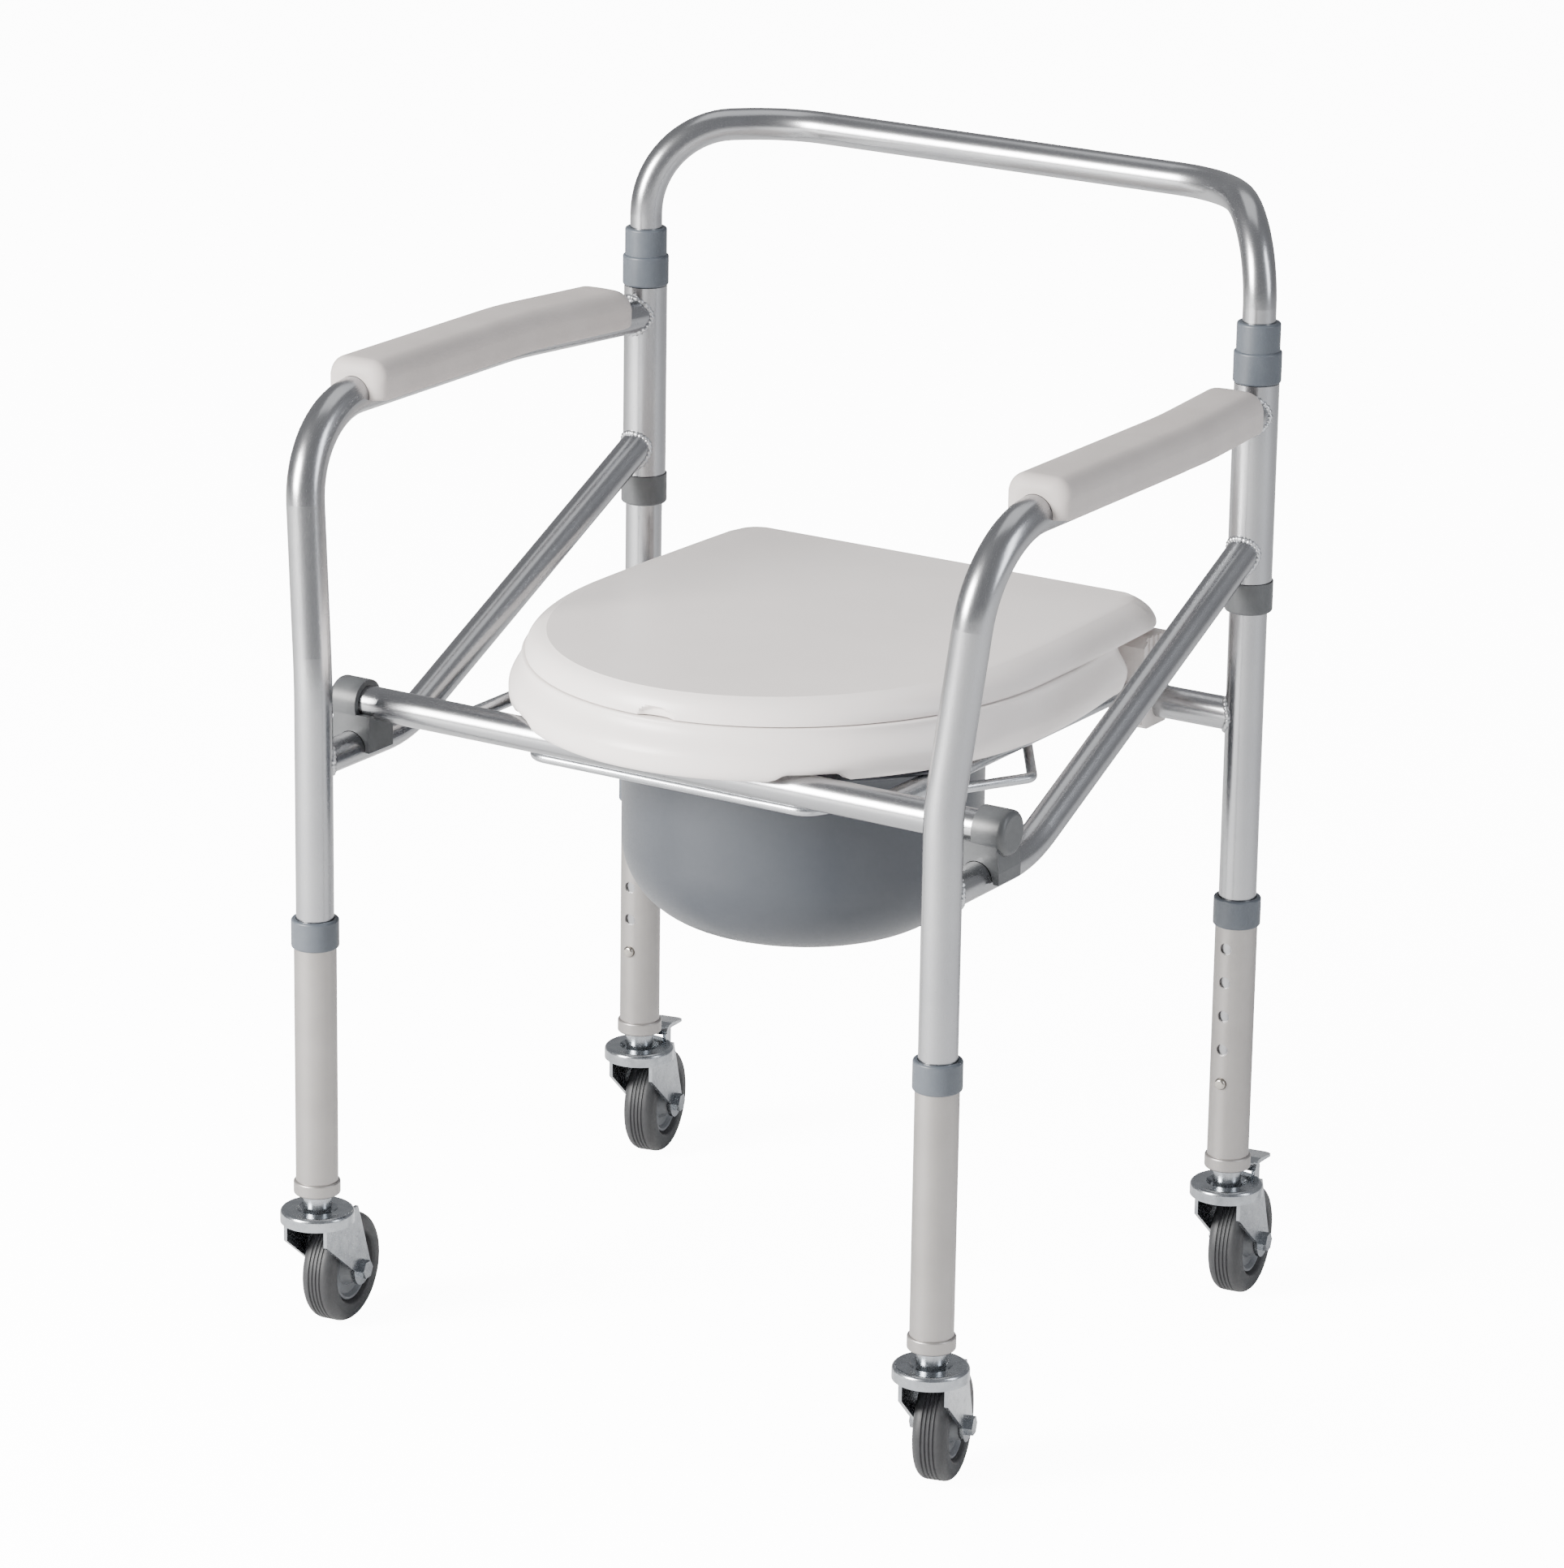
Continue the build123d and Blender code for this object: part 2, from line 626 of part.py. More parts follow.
def wheel(x, y, yaw):
    """Rubber wheel, revolved: round tread shoulders, recessed webs and a hub."""
    trail = (-sin(radians(yaw)), cos(radians(yaw)), 0)
    across = (cos(radians(yaw)), sin(radians(yaw)), 0)
    centre = (x + trail[0] * caster_trail, y + trail[1] * caster_trail, wheel_r)
    section = Plane(origin=centre, x_dir=across, z_dir=(trail[0], trail[1], 0))
    bore_r = axle_d / 2 + running_gap
    with BuildPart() as body:
        with BuildSketch(section):
            with BuildLine():
                Polyline(
                    (0, bore_r),
                    (wheel_hub_w / 2, bore_r),
                    (wheel_hub_w / 2, wheel_hub_r),
                    (wheel_web_w / 2, wheel_hub_r + 1.5),
                    (wheel_web_w / 2, wheel_rim_r),
                    (wheel_w / 2, wheel_rim_r + 2.5),
                    (wheel_w / 2, wheel_r - wheel_shoulder_r),
                )
                TangentArc((wheel_w / 2, wheel_r - wheel_shoulder_r),
                           (wheel_w / 2 - wheel_shoulder_r, wheel_r - 0.8), tangent=(0, 1))
                Line((wheel_w / 2 - wheel_shoulder_r, wheel_r - 0.8), (0, wheel_r))
                Line((0, wheel_r), (0, bore_r))
            make_face()
            mirror(about=Plane.YZ)
        revolve(axis=Axis(centre, across))
    return body


def brake_pedal(x, y, yaw):
    """Pressed tongue above the rear of the fork, turning on two small pins."""
    flat = caster_plane(x, y, yaw)
    with BuildPart() as pedal:
        with BuildSketch(side_profile(x, y, yaw, 0)):
            with BuildLine():
                Polyline(
                    (pedal_hinge_s - 3, pedal_z - pedal_t / 2),
                    (pedal_hinge_s + 14, pedal_z - pedal_t / 2),
                    (pedal_tip_s, pedal_z - pedal_t / 2 - 3),
                    (pedal_tip_s, pedal_z - 3),
                    (pedal_hinge_s + 14, pedal_z + pedal_t / 2 + 0.6),
                    (pedal_hinge_s - 3, pedal_z + pedal_t / 2),
                    close=True,
                )
            make_face()
            with Locations((pedal_hinge_s, pedal_z)):
                Circle(2.9)
        extrude(amount=pedal_w / 2, both=True)
        tip_corners = pedal.edges().filter_by(Axis.Z).sort_by(
            lambda edge: (edge.center().X - x) ** 2 + (edge.center().Y - y) ** 2)[-2:]
        fillet(tip_corners, 8.0)
        with BuildSketch(side_profile(x, y, yaw, 0)):
            with Locations((pedal_hinge_s, pedal_z)):
                Circle(pedal_pin_d / 2)
        extrude(amount=pedal_w / 2 + 0.5 + pedal_ear_t, both=True)
    return pedal


for leg_name, (x, y, hole_side) in legs.items():
    yaw = caster_yaw[leg_name]
    braked = leg_name.startswith("rear")
    save(leg_extension(x, y, hole_side), f"leg_extension_{leg_name}")
    save(leg_collar(x, y), f"leg_collar_{leg_name}")
    save(snap_button(x, y, hole_side), f"snap_button_{leg_name}")
    save(caster_stem(x, y), f"caster_stem_{leg_name}")
    save(fork(x, y, yaw, braked), f"caster_fork_{leg_name}")
    save(axle(x, y, yaw), f"axle_{leg_name}")
    save(wheel(x, y, yaw), f"wheel_{leg_name}")
    if braked:
        save(brake_pedal(x, y, yaw), f"brake_pedal_{leg_name}")

# ---------------------------------------------------------------- folding seat frame
with BuildPart() as front_tube:
    with BuildSketch(Plane.YZ.offset(clip_end_wall - clip_outer_x)):
        with Locations((front_tube_world_y, front_tube_z)):
            Circle(cross_r)
            Circle(cross_r - tube_wall, mode=Mode.SUBTRACT)
    extrude(amount=2 * (clip_outer_x - clip_end_wall))
save(front_tube, "front_tube")


def seat_clip(side):
    """End cap of the front tube with a saddle that drops over the brace."""
    saddle_r = cross_r + free_gap
    x = leg_half_x
    lip_z = brace_low_z - saddle_lip_drop
    flare_dx = saddle_r * (cos(atan2(saddle_flare, 1)) - 1) + saddle_flare * (
        saddle_lip_drop + 4 + saddle_r * sin(atan2(saddle_flare, 1)))
    inner_x = x - saddle_r - saddle_wall
    outer_x = x + saddle_r + saddle_wall + 1.6
    with BuildPart() as clip:
        with BuildSketch(Plane.YZ.offset(clip_inner_x)):
            with Locations((front_tube_world_y, front_tube_z)):
                Circle(clip_r)
        extrude(amount=clip_outer_x - clip_inner_x)
        fillet(clip.faces().sort_by(Axis.X)[-1].edges(), 4.0)
        with BuildSketch(Plane.XZ.offset(-(front_tube_world_y - saddle_length / 2))):
            with BuildLine():
                Polyline(
                    (inner_x, lip_z),
                    (inner_x, front_tube_z - 6),
                    (outer_x - 2, front_tube_z - 6),
                    (outer_x, brace_low_z + saddle_r / 2),
                    (outer_x, lip_z),
                    close=True,
                )
            make_face()
        extrude(amount=-saddle_length)
        with BuildSketch(Plane.XZ.offset(-(front_tube_world_y - saddle_length / 2 - 1))):
            with Locations((x, brace_low_z)):
                Circle(saddle_r)
            with BuildLine():
                Polyline(
                    (x - saddle_r, brace_low_z),
                    (x - saddle_r, lip_z - 4),
                    (x + saddle_r + flare_dx, lip_z - 4),
                    (x + saddle_r * cos(atan2(saddle_flare, 1)),
                     brace_low_z + saddle_r * sin(atan2(saddle_flare, 1))),
                    close=True,
                )
            make_face()
        extrude(amount=-(saddle_length + 2), mode=Mode.SUBTRACT)
        with BuildSketch(Plane.YZ.offset(inner_x - 1)):
            with Locations((front_tube_world_y, front_tube_z)):
                Circle(cross_r)
        extrude(amount=clip_outer_x - clip_end_wall - inner_x + 1, mode=Mode.SUBTRACT)
    if side < 0:
        with BuildPart() as mirrored:
            add(clip.part.mirror(Plane.YZ))
        return mirrored
    return clip


for side_name, side in sides.items():
    save(seat_clip(side), f"seat_clip_{side_name}")

with BuildPart() as seat_rails:
    for side in sides.values():
        with BuildSketch(Plane.XZ.offset(-(front_tube_world_y))):
            with Locations((side * rail_x, front_tube_z)):
                Circle(rail_d / 2)
        extrude(amount=-(rear_y - block_front - front_tube_world_y))
    with Locations(Location((0, front_tube_world_y, front_tube_z), (0, 90, 0))):
        Cylinder(cross_r, 3 * leg_half_x, mode=Mode.SUBTRACT)
save(seat_rails, "seat_rails")

with BuildPart() as bucket_rack:
    corners = [
        (rack_front_half, y0 + rack_front_y, rack_z),
        (rack_side_half, y0 + rack_side_y, rack_z),
        (rack_rear_half, y0 + rack_rear_y, rack_z),
    ]
    start = (0, y0 + rack_front_y, rack_z)
    with BuildLine() as half_route:
        FilletPolyline(start, *corners, (0, y0 + rack_rear_y, rack_z),
                       radius=[rack_corner_r, rack_apex_r, rack_corner_r])
    round_bar(half_route.line, start, (1, 0, 0), rack_wire_d, x_dir=(0, 1, 0))
    front_slope = (rack_side_half - rack_front_half) / (rack_side_y - rack_front_y)
    rear_slope = (rack_side_half - rack_rear_half) / (rack_rear_y - rack_side_y)
    rod_front = rack_front_y + (rack_rod_x - rack_front_half) / front_slope
    rod_rear = rack_rear_y - (rack_rod_x - rack_rear_half) / rear_slope
    with BuildSketch(Plane.XZ.offset(-(y0 + rod_front))):
        with Locations((rack_rod_x, rack_z)):
            Circle(rack_wire_d / 2)
    extrude(amount=-(rod_rear - rod_front))
    mirror(about=Plane.YZ)
save(bucket_rack, "bucket_rack")


def hinge_block(side):
    """Moulded block that turns on the rear cross tube and holds the seat's hinge pin."""
    bottom_z = rear_cross_z - block_bottom
    top_z = hinge_z + hinge_lug_r
    with BuildPart() as block:
        with BuildSketch(Plane.YZ.offset(block_inner_x)):
            with BuildLine():
                Polyline(
                    (rear_y - block_front, bottom_z + 4),
                    (rear_y - block_front, top_z - 6),
                    (rear_y - block_front + 8, top_z),
                    (rear_y + block_rear, top_z),
                    (rear_y + block_rear, rear_cross_z + cross_r),
                    (rear_y + cross_r + 4, rear_cross_z + cross_r / 2),
                    (rear_y + cross_r + 4, rear_cross_z - cross_r / 2),
                    (rear_y + block_rear, bottom_z),
                    (rear_y - block_front + 6, bottom_z),
                    close=True,
                )
            make_face()
            with Locations((rear_y, rear_cross_z)):
                Circle(cross_r + running_gap, mode=Mode.SUBTRACT)
            with Locations((hinge_y, hinge_z)):
                Circle(hinge_pin_d / 2, mode=Mode.SUBTRACT)
        extrude(amount=block_outer_x - block_inner_x)
        pitch = (block_front + block_rear) / (block_rib_count + 1)
        for groove in range(block_rib_count):
            groove_y = rear_y - block_front + pitch * (groove + 1)
            with Locations((block_outer_x, groove_y, (rear_cross_z + cross_r + top_z) / 2 + 6)):
                Box(2 * block_groove_depth, block_groove_w, top_z - rear_cross_z - cross_r - 2,
                    mode=Mode.SUBTRACT)
    if side < 0:
        with BuildPart() as mirrored:
            add(block.part.mirror(Plane.YZ))
        return mirrored
    return block


for side_name, side in sides.items():
    save(hinge_block(side), f"hinge_block_{side_name}")

with BuildPart() as hinge_pins:
    with BuildSketch(Plane.YZ.offset(pin_inner_x)):
        with Locations((hinge_y, hinge_z)):
            Circle(hinge_pin_d / 2)
    extrude(amount=block_outer_x - 1.6 - pin_inner_x)
    mirror(about=Plane.YZ)
save(hinge_pins, "hinge_pins")


# ---------------------------------------------------------------- seat ring and lid
def seat_outline(half_w, front, rear_half_w, rear, corner_r):
    """D-shaped outline in the open sketch: elliptical front, sides drawn in to the rear."""
    wide = y0 + seat_wide_y
    back = y0 + rear
    with BuildLine() as outline:
        EllipticalCenterArc((0, wide), half_w, front + seat_wide_y, start_angle=180, arc_size=180)
        Bezier((half_w, wide), (half_w, wide + 55), (rear_half_w + 3, back - 45), (rear_half_w, back))
        Line((rear_half_w, back), (-rear_half_w, back))
        Bezier((-rear_half_w, back), (-rear_half_w - 3, back - 45), (-half_w, wide + 55),
               (-half_w, wide))
    face = make_face(outline.edges())
    fillet([corner for corner in face.vertices() if abs(corner.Y - back) < 0.01], corner_r)


bulge_z = ring_bottom_z + ring_bulge_h
with BuildPart() as seat_ring:
    with BuildSketch(Plane.XY.offset(ring_bottom_z)):
        seat_outline(ring_half_w - 2, ring_front - 2, ring_rear_half_w - 2, ring_rear_y - 2,
                     ring_corner_r)
    with BuildSketch(Plane.XY.offset(bulge_z)):
        seat_outline(ring_half_w, ring_front - 3, ring_rear_half_w, ring_rear_y, ring_corner_r)
    with BuildSketch(Plane.XY.offset(ring_top_z)):
        seat_outline(ring_half_w - ring_top_inset, ring_front - ring_top_front_inset,
                     ring_rear_half_w - ring_top_inset, ring_rear_y - 3, ring_corner_r - 2)
    loft(ruled=True)
    inner_top = ring_top_z - ring_wall
    with BuildSketch(Plane.XY.offset(ring_bottom_z - 1)):
        seat_outline(ring_half_w - 2 - ring_wall, ring_front - 2 - ring_wall,
                     ring_rear_half_w - 2 - ring_wall, ring_rear_y - 2 - ring_wall,
                     ring_corner_r - ring_wall)
    with BuildSketch(Plane.XY.offset(inner_top)):
        inset = ring_top_inset + ring_wall
        seat_outline(ring_half_w - inset, ring_front - ring_top_front_inset - ring_wall,
                     ring_rear_half_w - inset, ring_rear_y - 3 - ring_wall,
                     ring_corner_r - 2 - ring_wall)
    loft(ruled=True, mode=Mode.SUBTRACT)
    with BuildSketch(Plane.XY.offset(ring_bottom_z + 4)):
        with Locations((0, y0 + hole_y)):
            Ellipse(hole_half_w + ring_wall, hole_half_l + ring_wall)
    extrude(amount=inner_top - ring_bottom_z - 3)
    with BuildSketch(Plane.XY.offset(ring_bottom_z - 1)):
        with Locations((0, y0 + hole_y)):
            Ellipse(hole_half_w, hole_half_l)
    extrude(amount=60, mode=Mode.SUBTRACT)
    slot_r = cross_r + ring_slot_gap
    with BuildSketch(Plane.YZ.offset(-leg_half_x)):
        with Locations((front_tube_world_y, front_tube_z)):
            Circle(slot_r)
        with Locations((front_tube_world_y, front_tube_z - slot_r)):
            Rectangle(2 * slot_r, 2 * slot_r)
    extrude(amount=2 * leg_half_x, mode=Mode.SUBTRACT)
    for hand in (-1, 1):
        with BuildSketch(Plane.YZ.offset(hand * ring_lug_x - ring_lug_w / 2)):
            with Locations((hinge_y, hinge_z)):
                Circle(hinge_lug_r)
            with BuildLine():
                Polyline(
                    (hinge_y, hinge_z + hinge_lug_r),
                    (y0 + ring_rear_y - 8, hinge_z + hinge_lug_r),
                    (y0 + ring_rear_y - 8, hinge_z - hinge_lug_r),
                    (hinge_y, hinge_z - hinge_lug_r),
                    close=True,
                )
            make_face()
        extrude(amount=ring_lug_w)
    with Locations(Location((0, hinge_y, hinge_z), (0, 90, 0))):
        Cylinder(hinge_pin_d / 2 + running_gap, 2 * block_outer_x, mode=Mode.SUBTRACT)
save(seat_ring, "seat_ring")

lid_bottom_z = ring_top_z + lid_gap
with BuildPart() as lid:
    with BuildSketch(Plane.XY.offset(lid_bottom_z)):
        seat_outline(lid_half_w, lid_front, lid_rear_half_w, lid_rear_y, lid_corner_r)
    with BuildSketch(Plane.XY.offset(lid_top_z - lid_shoulder_drop)):
        seat_outline(lid_half_w - lid_shoulder_inset, lid_front - 1,
                     lid_rear_half_w - lid_shoulder_inset, lid_rear_y - 1, lid_corner_r)
    with BuildSketch(Plane.XY.offset(lid_top_z)):
        seat_outline(lid_half_w - lid_top_inset, lid_front - lid_top_front_inset,
                     lid_rear_half_w - lid_top_inset, lid_rear_y - lid_rear_inset,
                     lid_corner_r - 4)
    loft(ruled=True)
    with BuildSketch(Plane.XY.offset(lid_bottom_z - 1)):
        seat_outline(lid_half_w - lid_wall, lid_front - lid_wall, lid_rear_half_w - lid_wall,
                     lid_rear_y - lid_wall, lid_corner_r - lid_wall)
    with BuildSketch(Plane.XY.offset(lid_top_z - lid_wall)):
        inset = lid_top_inset - 2
        seat_outline(lid_half_w - inset, lid_front - lid_top_front_inset - 2,
                     lid_rear_half_w - inset, lid_rear_y - lid_rear_inset - 3,
                     lid_corner_r - 5)
    loft(ruled=True, mode=Mode.SUBTRACT)
    for hand in (-1, 1):
        with BuildSketch(Plane.YZ.offset(hand * lid_lug_x - lid_lug_w / 2)):
            with Locations((hinge_y, hinge_z)):
                Circle(hinge_lug_r)
            with Locations((hinge_y, (hinge_z + lid_top_z - 1) / 2)):
                Rectangle(2 * hinge_lug_r, lid_top_z - 1 - hinge_z)
        extrude(amount=lid_lug_w)
    with Locations(Location((0, hinge_y, hinge_z), (0, 90, 0))):
        Cylinder(hinge_pin_d / 2 + running_gap, 2 * block_outer_x, mode=Mode.SUBTRACT)
    with Locations((notch_x, y0 - lid_front, lid_bottom_z)):
        Cylinder(notch_r, 2 * notch_depth, mode=Mode.SUBTRACT)
save(lid, "lid")

# ---------------------------------------------------------------- bucket
with BuildPart() as bucket:
    rim_top = flange_z + bucket_flange_t
    neck_z = flange_z - bucket_neck_h
    with BuildSketch(Plane.XZ.offset(-(y0 + bucket_y))):
        with BuildLine():
            Line((0, bucket_bottom_z), (bucket_r - bucket_corner_r, bucket_bottom_z))
            CenterArc((bucket_r - bucket_corner_r, bucket_bottom_z + bucket_corner_r),
                      bucket_corner_r, -90, 90)
            Line((bucket_r, bucket_bottom_z + bucket_corner_r), (bucket_r, neck_z))
            Line((bucket_r, neck_z), (bucket_r + 5, flange_z))
            Line((bucket_r + 5, flange_z), (bucket_flange_r, flange_z))
            Line((bucket_flange_r, flange_z), (bucket_flange_r, rim_top))
            Line((bucket_flange_r, rim_top), (bucket_r + 3, rim_top))
            Line((bucket_r + 3, rim_top), (bucket_r - bucket_wall, neck_z))
            Line((bucket_r - bucket_wall, neck_z),
                 (bucket_r - bucket_wall, bucket_bottom_z + bucket_corner_r))
            CenterArc((bucket_r - bucket_corner_r, bucket_bottom_z + bucket_corner_r),
                      bucket_corner_r - bucket_wall, 0, -90)
            Line((bucket_r - bucket_corner_r, bucket_bottom_z + bucket_wall),
                 (0, bucket_bottom_z + bucket_wall))
            Line((0, bucket_bottom_z + bucket_wall), (0, bucket_bottom_z))
        make_face()
    revolve(axis=Axis((0, y0 + bucket_y, 0), (0, 0, 1)))
save(bucket, "bucket")
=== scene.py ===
"""Looks of a folding commode chair on casters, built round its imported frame, in metres."""
import json
import math

import bpy
from mathutils import Matrix, Vector, noise


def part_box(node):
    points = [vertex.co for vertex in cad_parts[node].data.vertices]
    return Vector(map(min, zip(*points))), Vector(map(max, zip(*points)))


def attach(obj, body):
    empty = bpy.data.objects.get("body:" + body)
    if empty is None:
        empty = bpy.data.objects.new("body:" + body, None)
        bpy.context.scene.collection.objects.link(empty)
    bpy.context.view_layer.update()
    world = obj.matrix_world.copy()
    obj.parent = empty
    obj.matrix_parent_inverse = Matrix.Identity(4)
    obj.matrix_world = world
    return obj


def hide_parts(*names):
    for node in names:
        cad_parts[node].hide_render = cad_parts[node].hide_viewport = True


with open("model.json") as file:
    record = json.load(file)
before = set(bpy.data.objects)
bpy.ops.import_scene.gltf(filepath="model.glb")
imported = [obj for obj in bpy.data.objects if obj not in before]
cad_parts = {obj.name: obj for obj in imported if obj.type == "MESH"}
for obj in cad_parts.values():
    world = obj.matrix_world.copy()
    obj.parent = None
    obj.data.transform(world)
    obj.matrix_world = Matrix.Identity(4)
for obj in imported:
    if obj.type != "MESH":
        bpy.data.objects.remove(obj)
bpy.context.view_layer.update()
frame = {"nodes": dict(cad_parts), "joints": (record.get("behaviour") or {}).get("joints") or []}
MM = 0.001

# Camera
# A long lens from the front right, a little above the seat, aimed between the four legs.
camera_turn, camera_rise, camera_roll = math.radians(32.10), math.radians(17.53), math.radians(0.87)
camera_distance, aim_height, lens_mm, sensor_mm = 4.2439, 0.38036, 147.2, 36.0
front_leg_low, front_leg_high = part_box("leg_extension_front_left")
rear_leg_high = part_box("leg_extension_rear_left")[1]
mid_legs_y = (front_leg_low.y + rear_leg_high.y) / 2
back = Vector((math.sin(camera_turn) * math.cos(camera_rise),
               -math.cos(camera_turn) * math.cos(camera_rise), math.sin(camera_rise)))
side = Vector((math.cos(camera_turn), math.sin(camera_turn), 0))
up = back.cross(side)
rolled_side = math.cos(camera_roll) * side + math.sin(camera_roll) * up
camera = bpy.data.objects.new("camera", bpy.data.cameras.new("camera"))
camera.data.lens = lens_mm
camera.data.sensor_width = sensor_mm
camera.data.clip_end = 100
axes = Matrix((rolled_side, back.cross(rolled_side), back)).transposed()
camera.matrix_world = Matrix.Translation(
    Vector((0, mid_legs_y, aim_height)) + back * camera_distance) @ axes.to_4x4()
bpy.context.scene.collection.objects.link(camera)
bpy.context.scene.camera = camera


# Floor and lights
# A wide pale floor under soft studio light: a big key from the front left, a cooler side light
# that draws the second streak down the tubes, and an even pale room all round. The floor is lit
# from below for the camera only, so that it stays white round the chair's soft shadow.
def linear(hex_colour):
    """Linear RGBA from an sRGB hex value."""
    shares = [int(hex_colour[i:i + 2], 16) / 255 for i in (1, 3, 5)]
    return [s / 12.92 if s <= 0.04045 else ((s + 0.055) / 1.055) ** 2.4 for s in shares] + [1.0]


def add_node(tree, kind, settings=None, inputs=None):
    """One shader node with its settings, and its inputs set or linked."""
    node = tree.nodes.new("ShaderNode" + kind)
    for name, value in (settings or {}).items():
        setattr(node, name, value)
    for socket, value in (inputs or {}).items():
        if isinstance(value, bpy.types.NodeSocket):
            tree.links.new(value, node.inputs[socket])
        else:
            node.inputs[socket].default_value = value
    return node


def soft_light(name, turn_deg, rise_deg, distance, size, watts, hex_colour):
    """A square soft box that faces the seat from one side."""
    turn, rise = math.radians(turn_deg), math.radians(rise_deg)
    away = Vector((math.sin(turn) * math.cos(rise), -math.cos(turn) * math.cos(rise),
                   math.sin(rise)))
    lamp = bpy.data.objects.new(name, bpy.data.lights.new(name, "AREA"))
    lamp.data.shape = "RECTANGLE"
    lamp.data.size, lamp.data.size_y = size
    lamp.data.energy = watts
    lamp.data.color = linear(hex_colour)[:3]
    lamp.location = Vector((0, 0, aim_height)) + away * distance
    lamp.rotation_euler = away.to_track_quat("Z", "Y").to_euler()
    bpy.context.scene.collection.objects.link(lamp)


soft_light("key_light", -28, 22, 4.0, (1.5, 1.9), 560, "#FFFDFA")
soft_light("side_light", 96, 24, 3.6, (0.9, 2.4), 60, "#F6F9FF")
soft_light("top_light", 200, 74, 3.6, (2.6, 2.6), 26, "#FFFFFF")

room = bpy.data.worlds.new("pale_room")
room.use_nodes = True
room.node_tree.nodes["Background"].inputs["Color"].default_value = linear("#E6E7EA")
room.node_tree.nodes["Background"].inputs["Strength"].default_value = 0.5
bpy.context.scene.world = room

floor_half = 14.0
floor_mesh = bpy.data.meshes.new("floor")
floor_mesh.from_pydata([(x * floor_half, y * floor_half, -0.0005) for x, y in
                        ((-1, -1), (1, -1), (1, 1), (-1, 1))], [], [(0, 1, 2, 3)])
floor = bpy.data.objects.new("floor", floor_mesh)
bpy.context.scene.collection.objects.link(floor)
floor_paint = bpy.data.materials.new("matte white floor paint")
floor_paint.use_nodes = True
floor_shader = floor_paint.node_tree.nodes["Principled BSDF"]
floor_shader.inputs["Base Color"].default_value = linear("#FCFCFC")
floor_shader.inputs["Roughness"].default_value = 0.9
floor_shader.inputs["Specular IOR Level"].default_value = 0.1
floor_shader.inputs["Emission Color"].default_value = linear("#FFFFFF")
seen = add_node(floor_paint.node_tree, "LightPath").outputs["Is Camera Ray"]
glow = add_node(floor_paint.node_tree, "Math", {"operation": "MULTIPLY"}, {0: seen, 1: 12.0})
floor_paint.node_tree.links.new(glow.outputs["Value"], floor_shader.inputs["Emission Strength"])
floor.data.materials.append(floor_paint)


# Aluminium frame tubes
# Drawn aluminium tube, bent cold, polished and clear anodised. Drawing leaves faint lines along
# the tube, and the anodising turns a mirror into satin.
def finish(name, light_hex, dark_hex, mottle_mm, grain_mm, grain_depth_mm, roughness,
           stretch=(1, 1, 1), **constants):
    """A material that drifts between two shades, with a grain that breaks up its gloss and relief.

    mottle_mm and grain_mm are the real widths of the two patterns; roughness is a (low, high) pair.
    """
    material = bpy.data.materials.new(name)
    material.use_nodes = True
    tree = material.node_tree
    shader = tree.nodes["Principled BSDF"]
    for socket, value in constants.items():
        shader.inputs[socket.replace("_", " ")].default_value = value
    place = add_node(tree, "TexCoord").outputs["Object"]
    along = add_node(tree, "Mapping", inputs={"Vector": place, "Scale": stretch}).outputs["Vector"]
    mottle = add_node(tree, "TexNoise", inputs={
        "Vector": place, "Scale": 1 / (mottle_mm * MM), "Detail": 3.0, "Roughness": 0.55})
    grain = add_node(tree, "TexNoise", inputs={
        "Vector": along, "Scale": 1 / (grain_mm * MM), "Detail": 4.0, "Roughness": 0.6})
    shades = add_node(tree, "ValToRGB", inputs={"Fac": mottle.outputs["Fac"]})
    shades.color_ramp.elements[0].position, shades.color_ramp.elements[1].position = 0.3, 0.7
    shades.color_ramp.elements[0].color = linear(dark_hex)
    shades.color_ramp.elements[1].color = linear(light_hex)
    tree.links.new(shades.outputs["Color"], shader.inputs["Base Color"])
    gloss = add_node(tree, "MapRange", inputs={
        "Value": grain.outputs["Fac"], "From Min": 0.3, "From Max": 0.7,
        "To Min": roughness[0], "To Max": roughness[1]})
    tree.links.new(gloss.outputs["Result"], shader.inputs["Roughness"])
    relief = add_node(tree, "Bump", inputs={
        "Height": grain.outputs["Fac"], "Distance": grain_depth_mm * MM, "Strength": 0.6})
    tree.links.new(relief.outputs["Normal"], shader.inputs["Normal"])
    return material


def dress(node, material):
    """Gives a frame node its material in every slot."""
    mesh = frame["nodes"][node].data
    if not mesh.materials:
        mesh.materials.append(material)
    for index in range(len(mesh.materials)):
        mesh.materials[index] = material


hands = ("left", "right")
corners = ("front_left", "front_right", "rear_left", "rear_right")
tube_look = ("#A6A7A9", "#9E9FA2", 60, 0.35, 0.0006, (0.23, 0.28))
upright_aluminium = finish("satin anodised aluminium post", *tube_look,
                           stretch=(1, 1, 0.04), Metallic=1.0)
level_aluminium = finish("satin anodised aluminium bar", *tube_look,
                         stretch=(0.04, 1, 1), Metallic=1.0)
bent_aluminium = finish("satin anodised aluminium bend", *tube_look,
                        stretch=(1, 0.06, 0.06), Metallic=1.0)
for hand in hands:
    for part, aluminium in (("upright", upright_aluminium), ("sleeve", upright_aluminium),
                            ("side_tube", bent_aluminium), ("brace", bent_aluminium)):
        dress(f"{part}_{hand}", aluminium)
for name in ("rear_cross_tube", "back_bar", "front_tube"):
    dress(name, level_aluminium)

